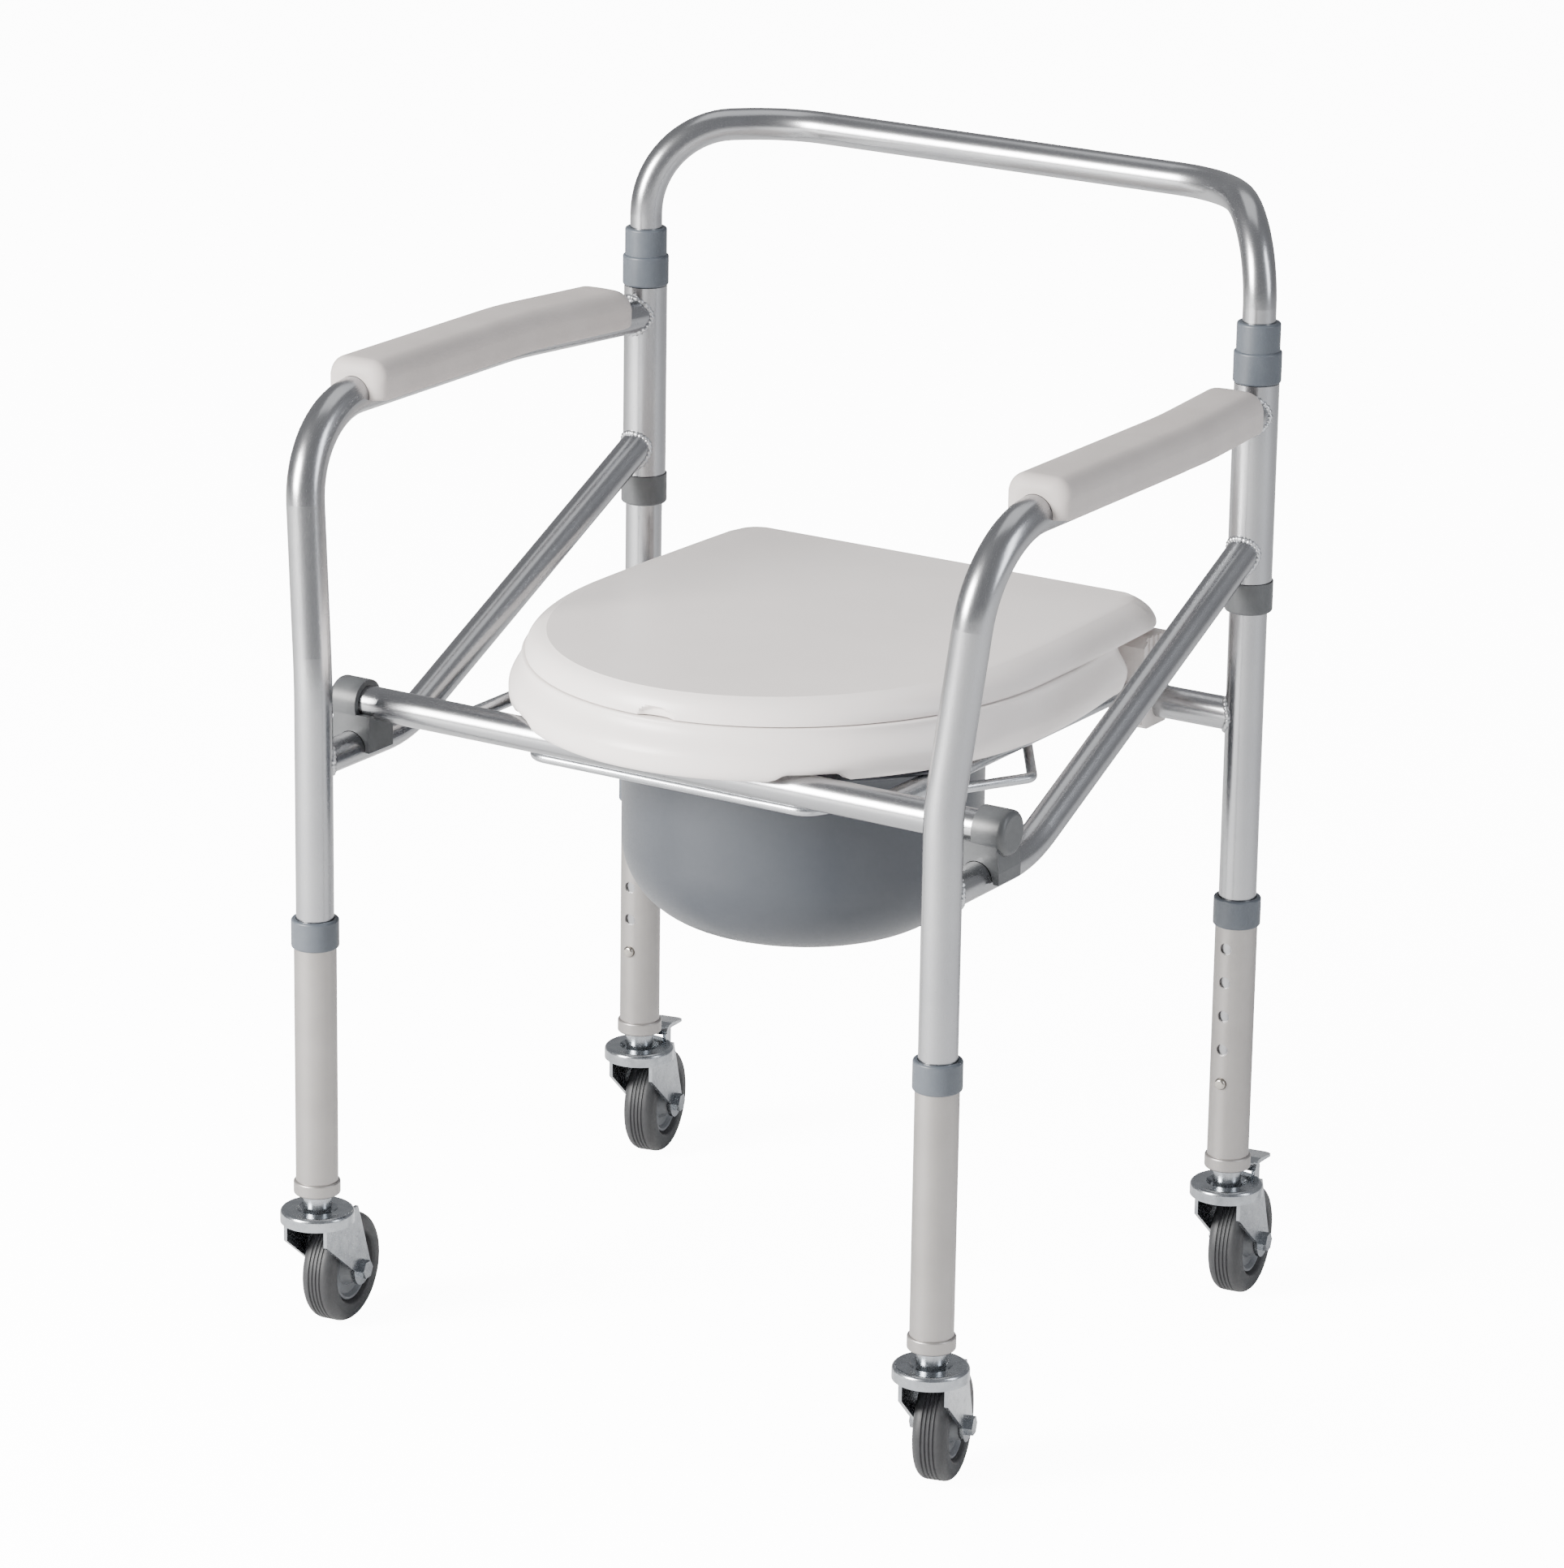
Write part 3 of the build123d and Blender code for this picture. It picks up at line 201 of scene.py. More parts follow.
# Leg extensions
# Wider aluminium tube, bead blasted before anodising, so it is more matt and warmer than the frame.
# The blasting leaves an even frost, finer than a pixel, drawn here at about twice its real size.
extension_aluminium = finish("bead blasted aluminium", "#A3A09E", "#9A9795", 45, 0.5, 0.003,
                             (0.38, 0.48), Metallic=0.85)
for corner in corners:
    dress(f"leg_extension_{corner}", extension_aluminium)

# Plastic collars
# Injection moulded nylon rings that close the joints between tubes: blue grey at the legs and the
# back bar, darker under the arm sleeves and on the clips of the front tube.
collar_nylon = finish("blue grey moulded nylon", "#4D535A", "#484E56", 14, 0.7, 0.01, (0.40, 0.5),
                      IOR=1.53)
clip_nylon = finish("charcoal moulded nylon", "#4C4E50", "#434547", 14, 0.7, 0.01, (0.36, 0.46),
                    IOR=1.53)
for name in [f"leg_collar_{corner}" for corner in corners] + [
        f"top_collar_{hand}" for hand in hands]:
    dress(name, collar_nylon)
for part in ("pivot_collar", "seat_clip"):
    for hand in hands:
        dress(f"{part}_{hand}", clip_nylon)

# Pins and buttons
# Turned steel, nickel plated: bright and smooth, with faint turning marks.
nickel = finish("nickel plated turned steel", "#B9B5AE", "#9F9B95", 6, 0.4, 0.004, (0.18, 0.3),
                Metallic=1.0)
for name in [f"snap_button_{corner}" for corner in corners] + [
        "lock_pin_left", "lock_pin_right", "hinge_pins"]:
    dress(name, nickel)

# Seat rails and bucket rack
# Drawn steel wire and rod, bent, spot welded and zinc plated: a soft bluish shine.
wire_zinc = finish("zinc plated steel wire", "#B9BBBE", "#A7AAAE", 12, 0.6, 0.003, (0.24, 0.34),
                   Metallic=1.0)
for name in ("seat_rails", "bucket_rack"):
    dress(name, wire_zinc)

# Caster forks
# Pressed sheet steel, barrel zinc plated. The plating clouds in patches a few millimetres wide,
# and the press leaves soft waves in the sheet.
fork_zinc = finish("barrel zinc plated pressed steel", "#ADB1B5", "#979BA0", 9, 3.0, 0.02,
                   (0.2, 0.3), Metallic=1.0)
for name in [f"{part}_{corner}" for part in ("caster_stem", "caster_fork", "axle")
             for corner in corners] + ["brake_pedal_rear_left", "brake_pedal_rear_right"]:
    dress(name, fork_zinc)


# Wheels
# A grey rubber tyre moulded on a nylon core, with fine rings round the tread and a bearing
# shield in the hub. Each is turned to the angle at which its caster happens to stand.
def piece(name, points, faces, material, body, slot, stands_for=(), crease_deg=38):
    """A smooth mesh that rides on a body, creased where it turns sharper than crease_deg."""
    mesh = bpy.data.meshes.new(name)
    mesh.from_pydata([tuple(p) for p in points], [], faces)
    mesh.validate()
    mesh.shade_smooth()
    mesh.set_sharp_from_angle(angle=math.radians(crease_deg))
    mesh.materials.append(material)
    made = bpy.data.objects.new(name, mesh)
    bpy.context.scene.collection.objects.link(made)
    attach(made, body)
    if stands_for:
        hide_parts(*stands_for)
    return made


def band(first, second, count, closed=True):
    """Quads between two rings of count points that start at first and second."""
    last = count if closed else count - 1
    return [(first + i, first + (i + 1) % count, second + (i + 1) % count, second + i)
            for i in range(last)]


def turned(profile, steps, place):
    """Points and faces of a closed (along, radius) profile turned about an axis.

    place(along, radius, angle) gives the point in the chair's frame.
    """
    points, faces = [], []
    for step in range(steps):
        angle = 2 * math.pi * step / steps
        points += [place(a, r, angle) for a, r in profile]
    count = len(profile)
    for step in range(steps):
        faces += band(step * count, (step + 1) % steps * count, count)
    return points, faces


def arc(centre, radius, start_deg, end_deg, steps):
    """Points of an arc, both ends included."""
    turns = [math.radians(start_deg + (end_deg - start_deg) * i / steps) for i in range(steps + 1)]
    return [(centre[0] + radius * math.cos(t), centre[1] + radius * math.sin(t)) for t in turns]


tyre_rubber = finish("grey moulded rubber", "#303133", "#2A2B2D", 9, 0.9, 0.02, (0.46, 0.6),
                     IOR=1.45)
core_nylon = finish("pale grey moulded nylon", "#5F6266", "#595C60", 9, 0.8, 0.01, (0.38, 0.48),
                    IOR=1.53)
wheel_r, wheel_half_w, shoulder_r = 37.5 * MM, 11.5 * MM, 6.5 * MM
tread_half, ring_count, ring_depth = 5.4 * MM, 4, 0.8 * MM
core_r, hub_r, hub_half_w, bore_r = 23.0 * MM, 10.0 * MM, 13.0 * MM, 4.05 * MM
foot_r, foot_rise, core_half_w = 2.2 * MM, 3.6 * MM, 7.6 * MM
rim_half_w, web_half_w, shield_half_w = 8.6 * MM, 6.0 * MM, 8.2 * MM
tread = []
for groove in range(ring_count):
    start = -tread_half + 2 * tread_half * groove / ring_count
    width = 2 * tread_half / ring_count
    tread += [(start + width * 0.2, wheel_r), (start + width * 0.42, wheel_r - ring_depth),
              (start + width * 0.58, wheel_r - ring_depth), (start + width * 0.8, wheel_r)]
shoulder_x, shoulder_y = wheel_half_w - shoulder_r, wheel_r - shoulder_r
tyre_profile = (tread
                + arc((shoulder_x, shoulder_y), shoulder_r, 84, 0, 8)
                + arc((wheel_half_w - foot_r, core_r + foot_rise), foot_r, 0, -90, 5)
                + [(core_half_w, core_r), (-core_half_w, core_r)]
                + arc((-wheel_half_w + foot_r, core_r + foot_rise), foot_r, 270, 180, 5)
                + arc((-shoulder_x, shoulder_y), shoulder_r, 180, 96, 8))
core_side = ([(core_half_w, core_r - 0.1 * MM), (rim_half_w, core_r - 0.6 * MM),
              (rim_half_w, core_r - 2.2 * MM), (web_half_w, core_r - 4.2 * MM),
              (web_half_w, hub_r + 3.2 * MM), (shield_half_w, hub_r + 1.4 * MM)]
             + [(hub_half_w - 0.8 * MM, hub_r), (hub_half_w, hub_r - 0.8 * MM),
                (hub_half_w, bore_r + 2.8 * MM), (hub_half_w - 0.7 * MM, bore_r + 2.2 * MM),
                (hub_half_w - 0.7 * MM, bore_r)])
core_profile = core_side + [(-a, r) for a, r in reversed(core_side)]
joint_axis = {joint["child"]: Vector(joint["axis"]) for joint in frame["joints"]}
for corner in corners:
    low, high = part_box(f"wheel_{corner}")
    centre, axle = (low + high) / 2, joint_axis[f"wheel_{corner}"].normalized()
    level = axle.cross(Vector((0, 0, 1)))

    def on_wheel(along, radius, angle):
        return centre + axle * along + (level * math.cos(angle)
                                        + Vector((0, 0, 1)) * math.sin(angle)) * radius

    piece(f"tyre_{corner}", *turned(tyre_profile, 96, on_wheel), tyre_rubber,
          f"wheel_{corner}", "wheel_rubber", [f"wheel_{corner}"], crease_deg=50)
    piece(f"wheel_core_{corner}", *turned(core_profile, 72, on_wheel), core_nylon,
          f"wheel_{corner}", "wheel_rubber")


# Weld beads
# TIG welded fillets where the arm, the brace and the cross tube meet round tube: a narrow ring
# of overlapping ripples that follows the saddle, more matt than the polished tube.
weld_metal = finish("TIG welded aluminium", "#C6C7C9", "#A9ABAE", 4, 1.2, 0.06, (0.3, 0.46),
                    Metallic=1.0)
ripple_count, bead_r, bead_steps, bead_sides = 26, 1.9 * MM, 104, 10
waver, wavers_per_metre = 0.16, 260


def weld(name, centre, direction, branch_r, trunk_r, trunk_centre, trunk_axis, body):
    """A rippled bead where a branch tube meets a trunk tube."""
    direction, trunk_axis = Vector(direction).normalized(), Vector(trunk_axis).normalized()
    first = direction.orthogonal().normalized()
    second = direction.cross(first)
    flat = direction - trunk_axis * direction.dot(trunk_axis)
    saddle = []
    for step in range(bead_steps):
        angle = 2 * math.pi * step / bead_steps
        start = Vector(centre) + (first * math.cos(angle) + second * math.sin(angle)) * branch_r
        offset = start - Vector(trunk_centre)
        offset = offset - trunk_axis * offset.dot(trunk_axis)
        half_b, c = offset.dot(flat), offset.length_squared - trunk_r ** 2
        root = max(half_b ** 2 - flat.length_squared * c, 0)
        saddle.append(start + direction * ((-half_b - math.sqrt(root)) / flat.length_squared))
    middle = sum(saddle, Vector()) / bead_steps
    points = []
    for step, place in enumerate(saddle):
        ahead = (saddle[(step + 1) % bead_steps] - saddle[step - 1]).normalized()
        outward = (place - middle).normalized()
        outward = (outward - ahead * outward.dot(ahead)).normalized()
        across = ahead.cross(outward)
        ripple = 1 + 0.2 * math.sin(2 * math.pi * ripple_count * step / bead_steps)
        ripple += waver * noise.noise(place * wavers_per_metre)
        points += [place + (outward * math.cos(t) + across * math.sin(t)) * bead_r * ripple
                   for t in (2 * math.pi * i / bead_sides for i in range(bead_sides))]
    faces = []
    for step in range(bead_steps):
        faces += band(step * bead_sides, (step + 1) % bead_steps * bead_sides, bead_sides)
    return piece(name, points, faces, weld_metal, body, "aluminium_tube", crease_deg=80)


upright_r, cross_r, sleeve_r, frame_axis = 12.7 * MM, 11.1 * MM, 15.0 * MM, Vector((0, 0, 1))
brace_sleeve_z, brace_low_z, brace_bend_y = 541 * MM, 402 * MM, mid_legs_y - 95 * MM
arm_rear_z, arm_rise, arm_splay = 629.5 * MM, 3.5 * MM, 18 * MM
arm_knee_y, rear_cross_z = mid_legs_y + 60 * MM, 420.5 * MM
for hand, sign in zip(hands, (-1, 1)):
    upright_low, upright_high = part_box(f"upright_{hand}")
    leg_axis = (upright_low + upright_high) / 2
    front_axis = Vector((leg_axis.x, (front_leg_low.y + front_leg_high.y) / 2, 0))
    body = f"side_frame_{hand}"
    brace_rise = Vector((0, leg_axis.y - brace_bend_y, brace_sleeve_z - brace_low_z))
    weld(f"brace_sleeve_weld_{hand}", (leg_axis.x, leg_axis.y, brace_sleeve_z), brace_rise,
         cross_r, sleeve_r, leg_axis, frame_axis, body)
    weld(f"brace_leg_weld_{hand}", (leg_axis.x, front_axis.y, brace_low_z), (0, -1, 0),
         cross_r, upright_r, front_axis, frame_axis, body)
    arm_turn = Vector((-sign * arm_splay, leg_axis.y - arm_knee_y, -arm_rise))
    weld(f"arm_sleeve_weld_{hand}", (leg_axis.x, leg_axis.y, arm_rear_z), arm_turn,
         upright_r, sleeve_r, leg_axis, frame_axis, body)
    weld(f"cross_tube_weld_{hand}", (leg_axis.x, leg_axis.y, rear_cross_z), (sign, 0, 0),
         cross_r, upright_r, leg_axis, frame_axis, "rear_frame")


# Arm pads
# Moulded polyurethane foam with its own smooth skin, pushed over the arm tube: a rounded block
# with a slot underneath, softly rounded at the front and sloped down at the back.
pad_foam = finish("self-skinned polyurethane foam", "#B9B3B0", "#B2ACA9", 40, 1.2, 0.03, (0.5, 0.62),
                  IOR=1.48, Specular_IOR_Level=0.35)
pad_half_w, pad_rise, pad_drop, pad_corner, slot_r = 23 * MM, 24 * MM, 2.5 * MM, 12 * MM, 12.8 * MM
pad_front_round, pad_rear_round, pad_crown = 9 * MM, 15 * MM, 1.2 * MM


def pad_section(inset):
    """Outer and slot outline, as (across, up) from the tube axis, drawn in by inset at the ends."""
    half, top = pad_half_w - inset, pad_rise - inset
    corner = max(pad_corner - inset * 0.35, 4 * MM)
    bottom = -pad_drop + min(inset, 1.5 * MM) * 0.4
    outer = [(half - 2 * MM, bottom), (half - 0.6 * MM, bottom + 0.6 * MM), (half, bottom + 2 * MM)]
    outer += [(half, bottom + 2 * MM + (top - corner - bottom - 2 * MM) * t) for t in (0.35, 0.7)]
    outer += arc((half - corner, top - corner), corner, 0, 90, 9)
    inner_half = half - corner
    outer += [(inner_half * t, top) for t in (0.66, 0.33)]
    outer = [(x, z + pad_crown * (1 - (x / half) ** 2) - pad_crown if z > top - corner else z)
             for x, z in outer]
    outer += [(0, top)] + [(-x, z) for x, z in reversed(outer)]
    start = math.degrees(math.asin(bottom / slot_r))
    slot = arc((0, 0), slot_r, start, 180 - start, len(outer) - 1)
    return outer, slot


for hand, sign in zip(hands, (-1, 1)):
    low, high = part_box(f"arm_pad_{hand}")
    outer_x = high.x if sign > 0 else -low.x
    inner_x = low.x if sign > 0 else -high.x
    front_x, rear_x = outer_x - pad_half_w, inner_x + pad_half_w
    axis_z, knee_y, knee_run = high.z - pad_rise, arm_knee_y, 17 * MM
    slope = (front_x - rear_x) / (high.y - knee_y)
    fall = (axis_z - pad_drop - low.z) / (high.y - knee_y)
    stations = [(low.y + pad_front_round * (1 - math.sin(t)), pad_front_round * (1 - math.cos(t)))
                for t in (math.pi / 2 * (1 - i / 8) for i in range(8))]
    straight = 30
    run_start, run_end = low.y + pad_front_round, high.y - pad_rear_round
    stations += [(run_start + (run_end - run_start) * i / straight, 0) for i in range(straight + 1)]
    stations += [(high.y - pad_rear_round * (1 - math.sin(t)),
                  pad_rear_round * (1 - math.cos(t)) * 0.8)
                 for t in (math.pi / 2 * i / 10 for i in range(1, 11))]
    points, faces = [], []
    for y, inset in stations:
        past = y - (knee_y - knee_run)
        bend = (0 if past < 0 else past ** 2 / (4 * knee_run) if past < 2 * knee_run
                else past - knee_run)
        outer, slot = pad_section(inset)
        ring = outer + slot[::-1]
        points += [Vector((sign * (front_x - slope * bend + x), y, axis_z - fall * bend + z))
                   for x, z in ring]
    count, half_count = len(ring), len(outer)
    for index in range(len(stations) - 1):
        faces += band(index * count, (index + 1) * count, count)
    for start in (0, (len(stations) - 1) * count):
        faces += [(start + i, start + i + 1, start + count - 2 - i, start + count - 1 - i)
                  for i in range(half_count - 1)]
    pad = piece(f"arm_pad_cover_{hand}", points, faces, pad_foam, f"side_frame_{hand}", "pad_foam",
                [f"arm_pad_{hand}"], crease_deg=50)


# Seat ring and lid
# Two blow moulded polypropylene shells with a satin skin: a ring with a full belly, and a lid
# whose rolled rim stops at a crease round a nearly flat top, with a finger notch at the front.
seat_white = finish("satin moulded polypropylene", "#EAE4E1", "#E5DFDC", 90, 1.6, 0.006, (0.3, 0.36),
                    IOR=1.49)
wide_y, front_steps, side_steps, corner_steps, rear_steps = mid_legs_y + 30 * MM, 72, 14, 8, 22
notch_x, notch_half, notch_depth, notch_top = 13 * MM, 12 * MM, 4.5 * MM, 7 * MM


def bezier(a, b, c, d, t):
    """Point of a cubic curve."""
    s = 1 - t
    return tuple(s ** 3 * p + 3 * s * s * t * q + 3 * s * t * t * u + t ** 3 * v
                 for p, q, u, v in zip(a, b, c, d))


def seat_half(half_w, front, rear_half_w, rear, corner_r):
    """Right half of the D outline, from the front centre round to the rear centre."""
    back_y, long_r = mid_legs_y + rear, front + wide_y - mid_legs_y
    half = []
    for i in range(front_steps):
        turn = math.pi / 2 * (i / front_steps) ** 1.25
        half.append((half_w * math.sin(turn), wide_y - long_r * math.cos(turn)))
    end = (rear_half_w, back_y)
    handles = ((half_w, wide_y), (half_w, wide_y + 55 * MM),
               (rear_half_w + 3 * MM, back_y - 45 * MM), end)
    side_line = [bezier(*handles, i / side_steps) for i in range(side_steps)]
    half += [p for p in side_line if p[1] < back_y - corner_r]
    while len(half) < front_steps + side_steps:
        half.append((half[-1][0], half[-1][1] + (back_y - corner_r - half[-1][1]) / 2))
    half += arc((rear_half_w - corner_r, back_y - corner_r), corner_r, 0, 90, corner_steps)
    flat = rear_half_w - corner_r
    half += [(flat * (1 - i / rear_steps), back_y) for i in range(1, rear_steps + 1)]
    return half


def seat_loop(half_w, front, rear_half_w, rear, corner_r):
    """The whole outline, counter-clockwise from the front centre."""
    right = seat_half(half_w, front, rear_half_w, rear, corner_r)
    return right + [(-x, y) for x, y in reversed(right[1:-1])]


def knuckle(x_middle, width, reach, rise, hinge, radius):
    """A hinge lug: a round eye with a web that reaches forwards or upwards into its shell."""
    eye = arc((0, 0), radius, 180, 360, 12) if rise else arc((0, 0), radius, -90, 90, 12)
    web = ([(radius, rise), (-radius, rise)] if rise else [(-reach, radius), (-reach, -radius)])
    outline = eye + web
    points = [Vector((x_middle + end * width / 2, hinge.y + y, hinge.z + z))
              for end in (-1, 1) for y, z in outline]
    count = len(outline)
    ends = [tuple(range(count)), tuple(range(count, 2 * count))[::-1]]
    return points, band(0, count, count) + ends


def merged(*parts):
    """Several (points, faces) sets as one."""
    points, faces = [], []
    for some_points, some_faces in parts:
        faces += [tuple(i + len(points) for i in face) for face in some_faces]
        points += some_points
    return points, faces


hinge_low, hinge_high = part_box("hinge_pins")
hinge = (hinge_low + hinge_high) / 2
ring_low, ring_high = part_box("seat_ring")
lid_low, lid_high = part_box("lid")
bulge_rise, slot_gap, slot_slope = 12 * MM, 0.6 * MM, 4 * MM
tube_low, tube_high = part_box("front_tube")
tube_y, tube_half = (tube_low.y + tube_high.y) / 2, (tube_high.z - tube_low.z) / 2
ring_top = ring_high.z
ring_height, over_tube_gap = 33.3 * MM, 0.3 * MM
ring_bottom = min(tube_high.z + over_tube_gap, ring_top - ring_height)
bulge_z = ring_bottom + bulge_rise
ring_half_w, ring_front = ring_high.x, mid_legs_y - ring_low.y
ring_rear_w, ring_rear = 177 * MM, 163 * MM
edge_r, hole_round, top_dip = 1.6 * MM, 9 * MM, 0.4 * MM


def ring_outline(side_in, front_in, z, corner_r=22 * MM, rear_in=None):
    """One level of the ring's wall, drawn in at the sides, the front and the rear."""
    rear_in = side_in if rear_in is None else rear_in
    loop = seat_loop(ring_half_w - side_in, ring_front - front_in, ring_rear_w - side_in,
                     ring_rear - rear_in, corner_r)
    return [Vector((x, y, z)) for x, y in loop]


def over_tube(p):
    """The same point, raised where the wall's lower edge would meet the front tube."""
    beside = (abs(p.y - tube_y) - tube_half - slot_gap) / slot_slope
    foot = tube_high.z + slot_gap - ring_bottom
    raised = max(0, foot) * min(1, max(0, 1.25 - beside))
    share = min(1, max(0, (bulge_z - p.z) / (bulge_z - ring_bottom)))
    return Vector((p.x, p.y, p.z + raised * share))


levels = []
for t in (i / 7 for i in range(8)):
    angle = math.pi / 2 * t
    draw_in = 7 * MM * (1 - math.sin(angle))
    levels.append(ring_outline(draw_in, draw_in + 3 * MM * t,
                               ring_bottom + bulge_rise * (1 - math.cos(angle))))
for t in (i / 12 for i in range(1, 13)):
    ease = t * t * (3 - 2 * t)
    levels.append(ring_outline(7 * MM * ease, 3 * MM + 10.5 * MM * ease,
                               bulge_z + (ring_top - edge_r - bulge_z) * t, rear_in=3 * MM * ease))
for t in (i / 4 for i in range(1, 5)):
    angle = math.pi / 2 * t
    draw_in = edge_r * (1 - math.cos(angle))
    levels.append(ring_outline(7 * MM + draw_in, 13.5 * MM + draw_in,
                               ring_top - edge_r * (1 - math.sin(angle)),
                               rear_in=3 * MM + draw_in))
hole_middle, hole_half_w, hole_half_l = mid_legs_y + 12 * MM, 104 * MM, 130 * MM
count = len(levels[0])


def hole_ring(grow, z):
    """One level of the hole's wall, point for point with the outline."""
    made = []
    for p in levels[-1]:
        turn = math.atan2((p.y - hole_middle) / hole_half_l, p.x / hole_half_w)
        made.append(Vector(((hole_half_w + grow) * math.cos(turn),
                            hole_middle + (hole_half_l + grow) * math.sin(turn), z)))
    return made


top_edge, hole_edge = levels[-1], hole_ring(hole_round, ring_top - top_dip)
for t in (0.12, 0.35, 0.65, 0.9):
    levels.append([a.lerp(b, t) - Vector((0, 0, 1.6 * MM * math.sin(math.pi * t) * 0.4))
                   for a, b in zip(top_edge, hole_edge)])
for t in (i / 6 for i in range(7)):
    angle = math.pi / 2 * t
    levels.append(hole_ring(hole_round * (1 - math.sin(angle)),
                            ring_top - top_dip - hole_round * (1 - math.cos(angle))))
levels.append(hole_ring(0, ring_bottom + 5 * MM))
levels.append(hole_ring(3 * MM, ring_bottom + 4.2 * MM))
levels.append(hole_ring(3.5 * MM, ring_top - 13 * MM))
inner_hole = hole_ring(14 * MM, ring_top - 5 * MM)
inner_edge = ring_outline(14 * MM, 18 * MM, ring_top - 5 * MM)
levels += [[a.lerp(b, t) for a, b in zip(inner_hole, inner_edge)] for t in (0, 0.5, 1)]
levels.append(ring_outline(8 * MM, 8 * MM, bulge_z))
levels.append(ring_outline(9.5 * MM, 9.5 * MM, ring_bottom + 1 * MM))
points = [over_tube(p) for level in levels for p in level]
faces = []
for index in range(len(levels)):
    faces += band(index * count, (index + 1) % len(levels) * count, count)
lugs = [knuckle(sign * 115 * MM, 16 * MM, 18 * MM, 0, hinge, 6 * MM) for sign in (-1, 1)]
piece("seat_ring_shell", *merged((points, faces), *lugs), seat_white, "seat_ring", "seat_plastic",
      ["seat_ring"], crease_deg=32)

lid_bottom, lid_top = ring_high.z + 0.8 * MM, lid_high.z
lid_half_w, lid_front, lid_rear_w = lid_high.x, mid_legs_y - lid_low.y, 173 * MM
lid_rear = lid_high.y - mid_legs_y
side_roll, front_roll, rear_roll, crown = 17 * MM, 9 * MM, 5 * MM, 1.0 * MM
rim_sweep, crease_step = math.radians(62), 0.45 * MM


def lid_outline(roll, z, corner_r):
    """One level of the lid: roll runs from 0 at the foot of the rim to 1 at the crease."""
    loop = seat_loop(lid_half_w - side_roll * roll, lid_front - front_roll * roll,
                     lid_rear_w - side_roll * roll, lid_rear - rear_roll * roll, corner_r)
    made = []
    for x, y in loop:
        reach = max(0, 1 - ((x - notch_x) / notch_half) ** 2) if y < wide_y else 0
        lift = max(0, 1 - (z - lid_bottom) / (notch_top * math.sqrt(reach) + 1e-6)) if reach else 0
        made.append(Vector((x, y + notch_depth * math.sqrt(reach) * min(1, lift * 3), z)))
    return made


levels, crease_z = [], lid_top - crown - 0.4 * MM
rim_h = crease_z - lid_bottom
levels.append(lid_outline(0.02, lid_bottom, 20 * MM))
for t in (i / 14 for i in range(1, 15)):
    angle = rim_sweep * t
    levels.append(lid_outline((1 - math.cos(angle)) / (1 - math.cos(rim_sweep)) * 0.94,
                              lid_bottom + rim_h * math.sin(angle) / math.sin(rim_sweep),
                              (20 - 4 * t) * MM))
levels.append(lid_outline(1.0, crease_z + crease_step, 16 * MM))
count = len(levels[0])
centre = Vector((0, mid_legs_y + 16 * MM, 0))
edge = levels[-1]
for t in (0.04, 0.12, 0.3, 0.5, 0.7, 0.9, 0.985):
    dome_z = crease_z + crease_step + (crown - 0.05 * MM) * (1 - (1 - t) ** 2)
    levels.append([Vector((*p.lerp(centre, t).xy, dome_z)) for p in edge])
points = [p for level in levels for p in level]
faces = []
for index in range(len(levels) - 1):
    faces += band(index * count, (index + 1) * count, count)
faces.append(tuple((len(levels) - 1) * count + i for i in range(count)))
under = [levels[0]]
for roll, z in ((0.2, lid_bottom), (0.3, lid_bottom + 6 * MM), (0.9, lid_top - 5 * MM),
                (1.3, lid_top - 4 * MM)):
    under.append(lid_outline(roll, z, 16 * MM))
under += [[Vector((*p.lerp(centre, t).xy, lid_top - 4 * MM)) for p in under[-1]]
          for t in (0.3, 0.7, 0.985)]
shell_points, shell_faces = [p for level in under for p in level], []
for index in range(len(under) - 1):
    shell_faces += [face[::-1] for face in band(index * count, (index + 1) * count, count)]
shell_faces.append(tuple((len(under) - 1) * count + i for i in range(count))[::-1])
lugs = [knuckle(sign * 137 * MM, 16 * MM, 0, lid_top - 5 * MM - hinge.z, hinge, 6 * MM)
        for sign in (-1, 1)]
piece("lid_shell", *merged((points, faces), (shell_points, shell_faces), *lugs), seat_white,
      "lid", "seat_plastic", ["lid"], crease_deg=24)

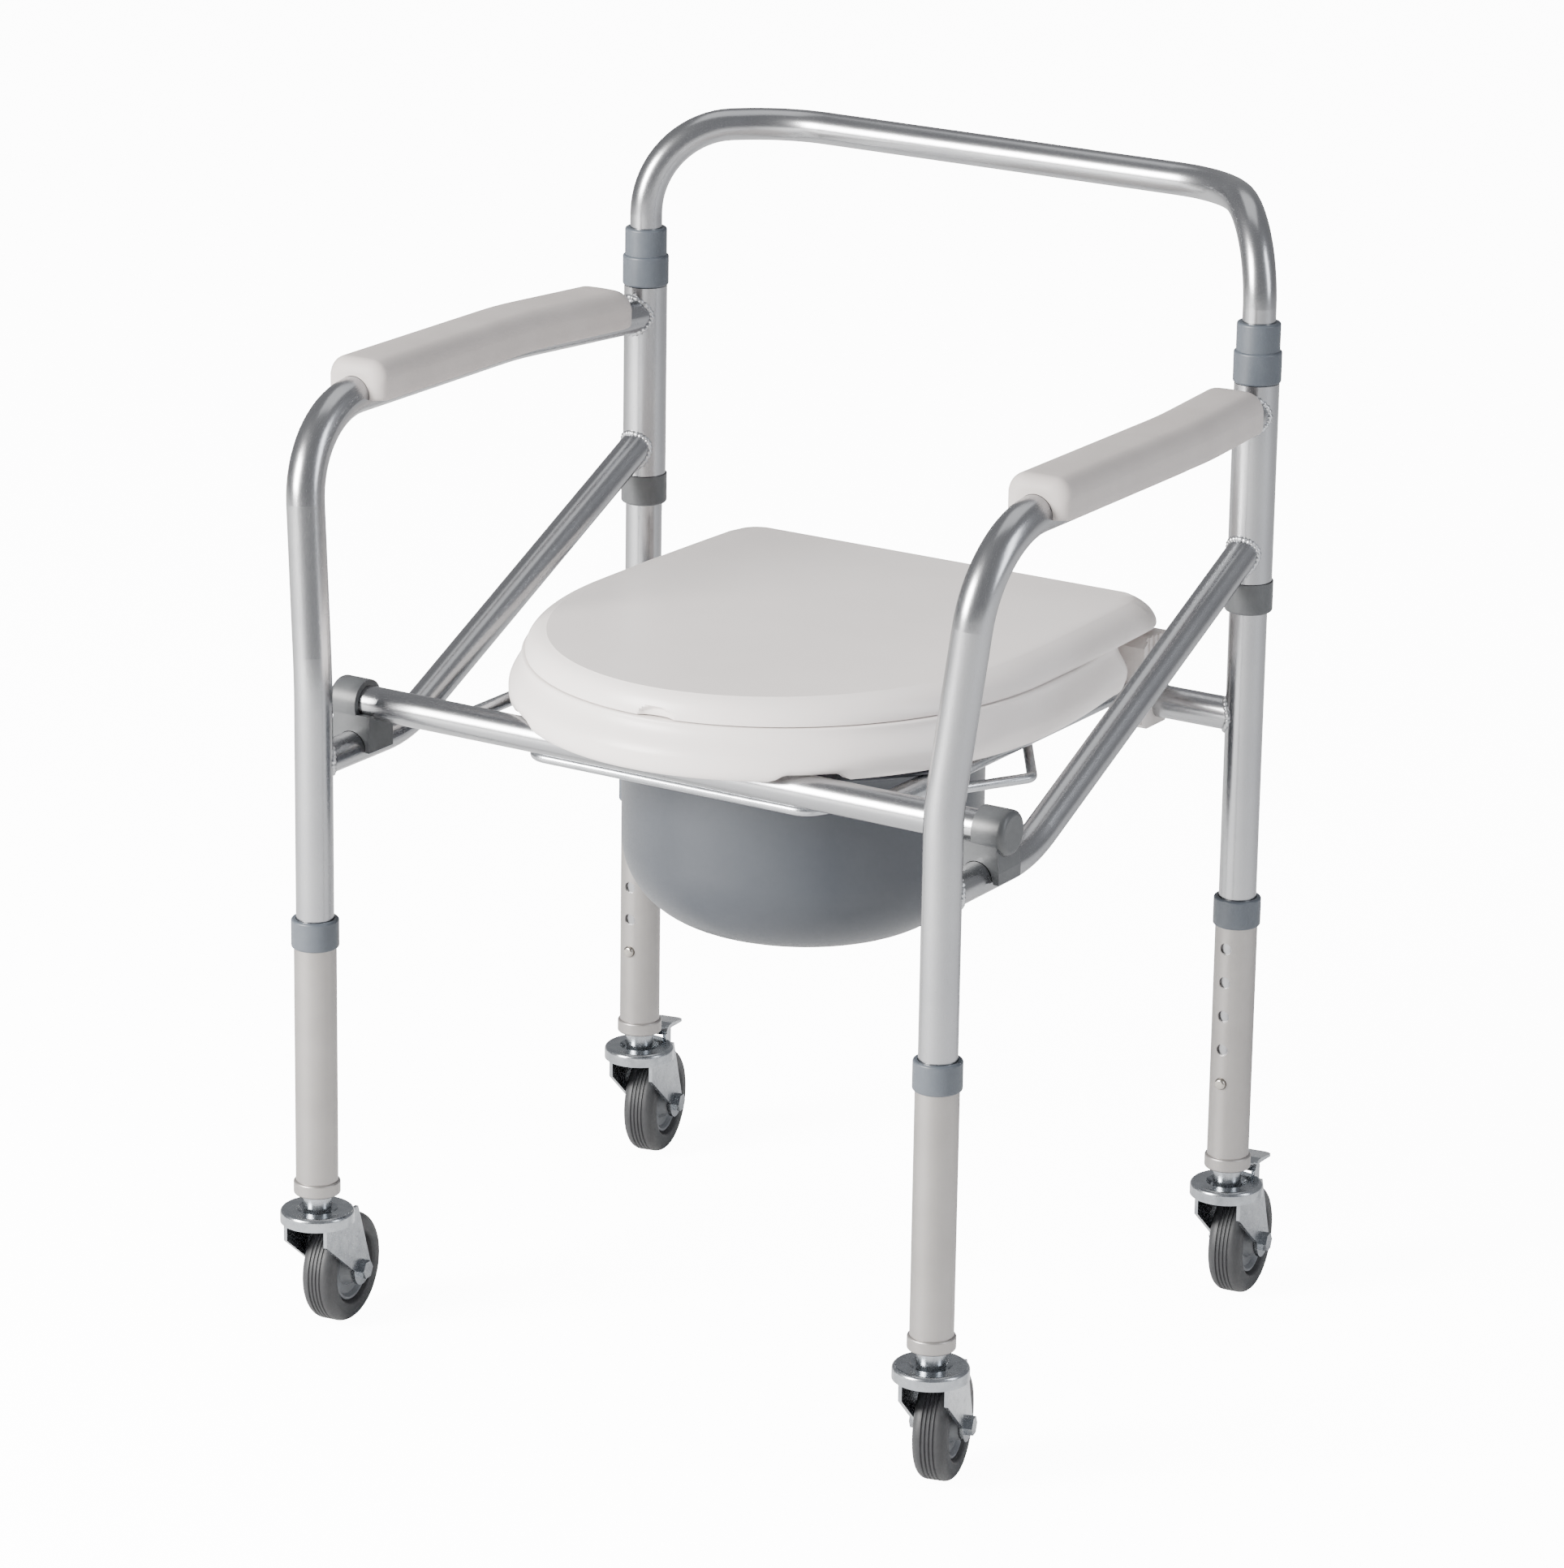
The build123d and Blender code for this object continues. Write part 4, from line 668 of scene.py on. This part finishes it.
# Hinge blocks
# Ribbed polypropylene blocks clamped on the rear cross tube, which carry the pins of the ring
# and the lid.
block_white = finish("moulded polypropylene block", "#D5CFCC", "#CBC5C2", 20, 1.2, 0.03,
                     (0.38, 0.48), IOR=1.49)
for hand in hands:
    dress(f"hinge_block_{hand}", block_white)

# Bucket
# Injection moulded blue grey polypropylene, as a deep bowl with a rounded base: a turned shell
# with a rolled lip that hangs in the rack. Faint flow marks run down the wall from the gate.
bucket_grey = finish("blue grey moulded polypropylene", "#393D43", "#353940", 60, 1.4, 0.01,
                     (0.34, 0.42), IOR=1.49)
low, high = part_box("bucket")
middle, base_z, rim_z = (low + high) / 2, low.z, high.z
bowl_r, bowl_corner, bowl_wall, lip_r = 121 * MM, 56 * MM, 2.6 * MM, high.x
flange_z, neck_z = rim_z - 3.4 * MM, rim_z - 17.4 * MM
bowl = ([(base_z + 1.6 * MM, 1 * MM), (base_z + 1.6 * MM, 42 * MM), (base_z, 46 * MM),
         (base_z, 56 * MM)]
        + [(z, r) for r, z in arc((bowl_r - bowl_corner, base_z + bowl_corner),
                                  bowl_corner, -88, 0, 22)]
        + [(neck_z - 30 * MM, bowl_r), (neck_z, bowl_r), (neck_z + 3 * MM, bowl_r + 0.4 * MM),
           (flange_z - 3 * MM, bowl_r + 3.6 * MM), (flange_z, bowl_r + 6 * MM),
           (flange_z, lip_r - 1.8 * MM)]
        + [(z, r) for r, z in arc((lip_r - 1.7 * MM, rim_z - 1.7 * MM), 1.7 * MM, -90, 90, 8)]
        + [(rim_z, bowl_r + 4 * MM), (rim_z - 1 * MM, bowl_r + 2 * MM), (neck_z, bowl_r - bowl_wall)]
        + [(z, r) for r, z in arc((bowl_r - bowl_corner, base_z + bowl_corner),
                                  bowl_corner - bowl_wall, 0, -88, 18)]
        + [(base_z + bowl_wall + 1.6 * MM, 1 * MM)])
points, faces = turned(bowl, 144, lambda z, r, angle: Vector(
    (middle.x + r * math.cos(angle), middle.y + r * math.sin(angle), z)))
piece("bucket_shell", points, faces, bucket_grey, "bucket", "bucket_plastic", ["bucket"],
      crease_deg=40)
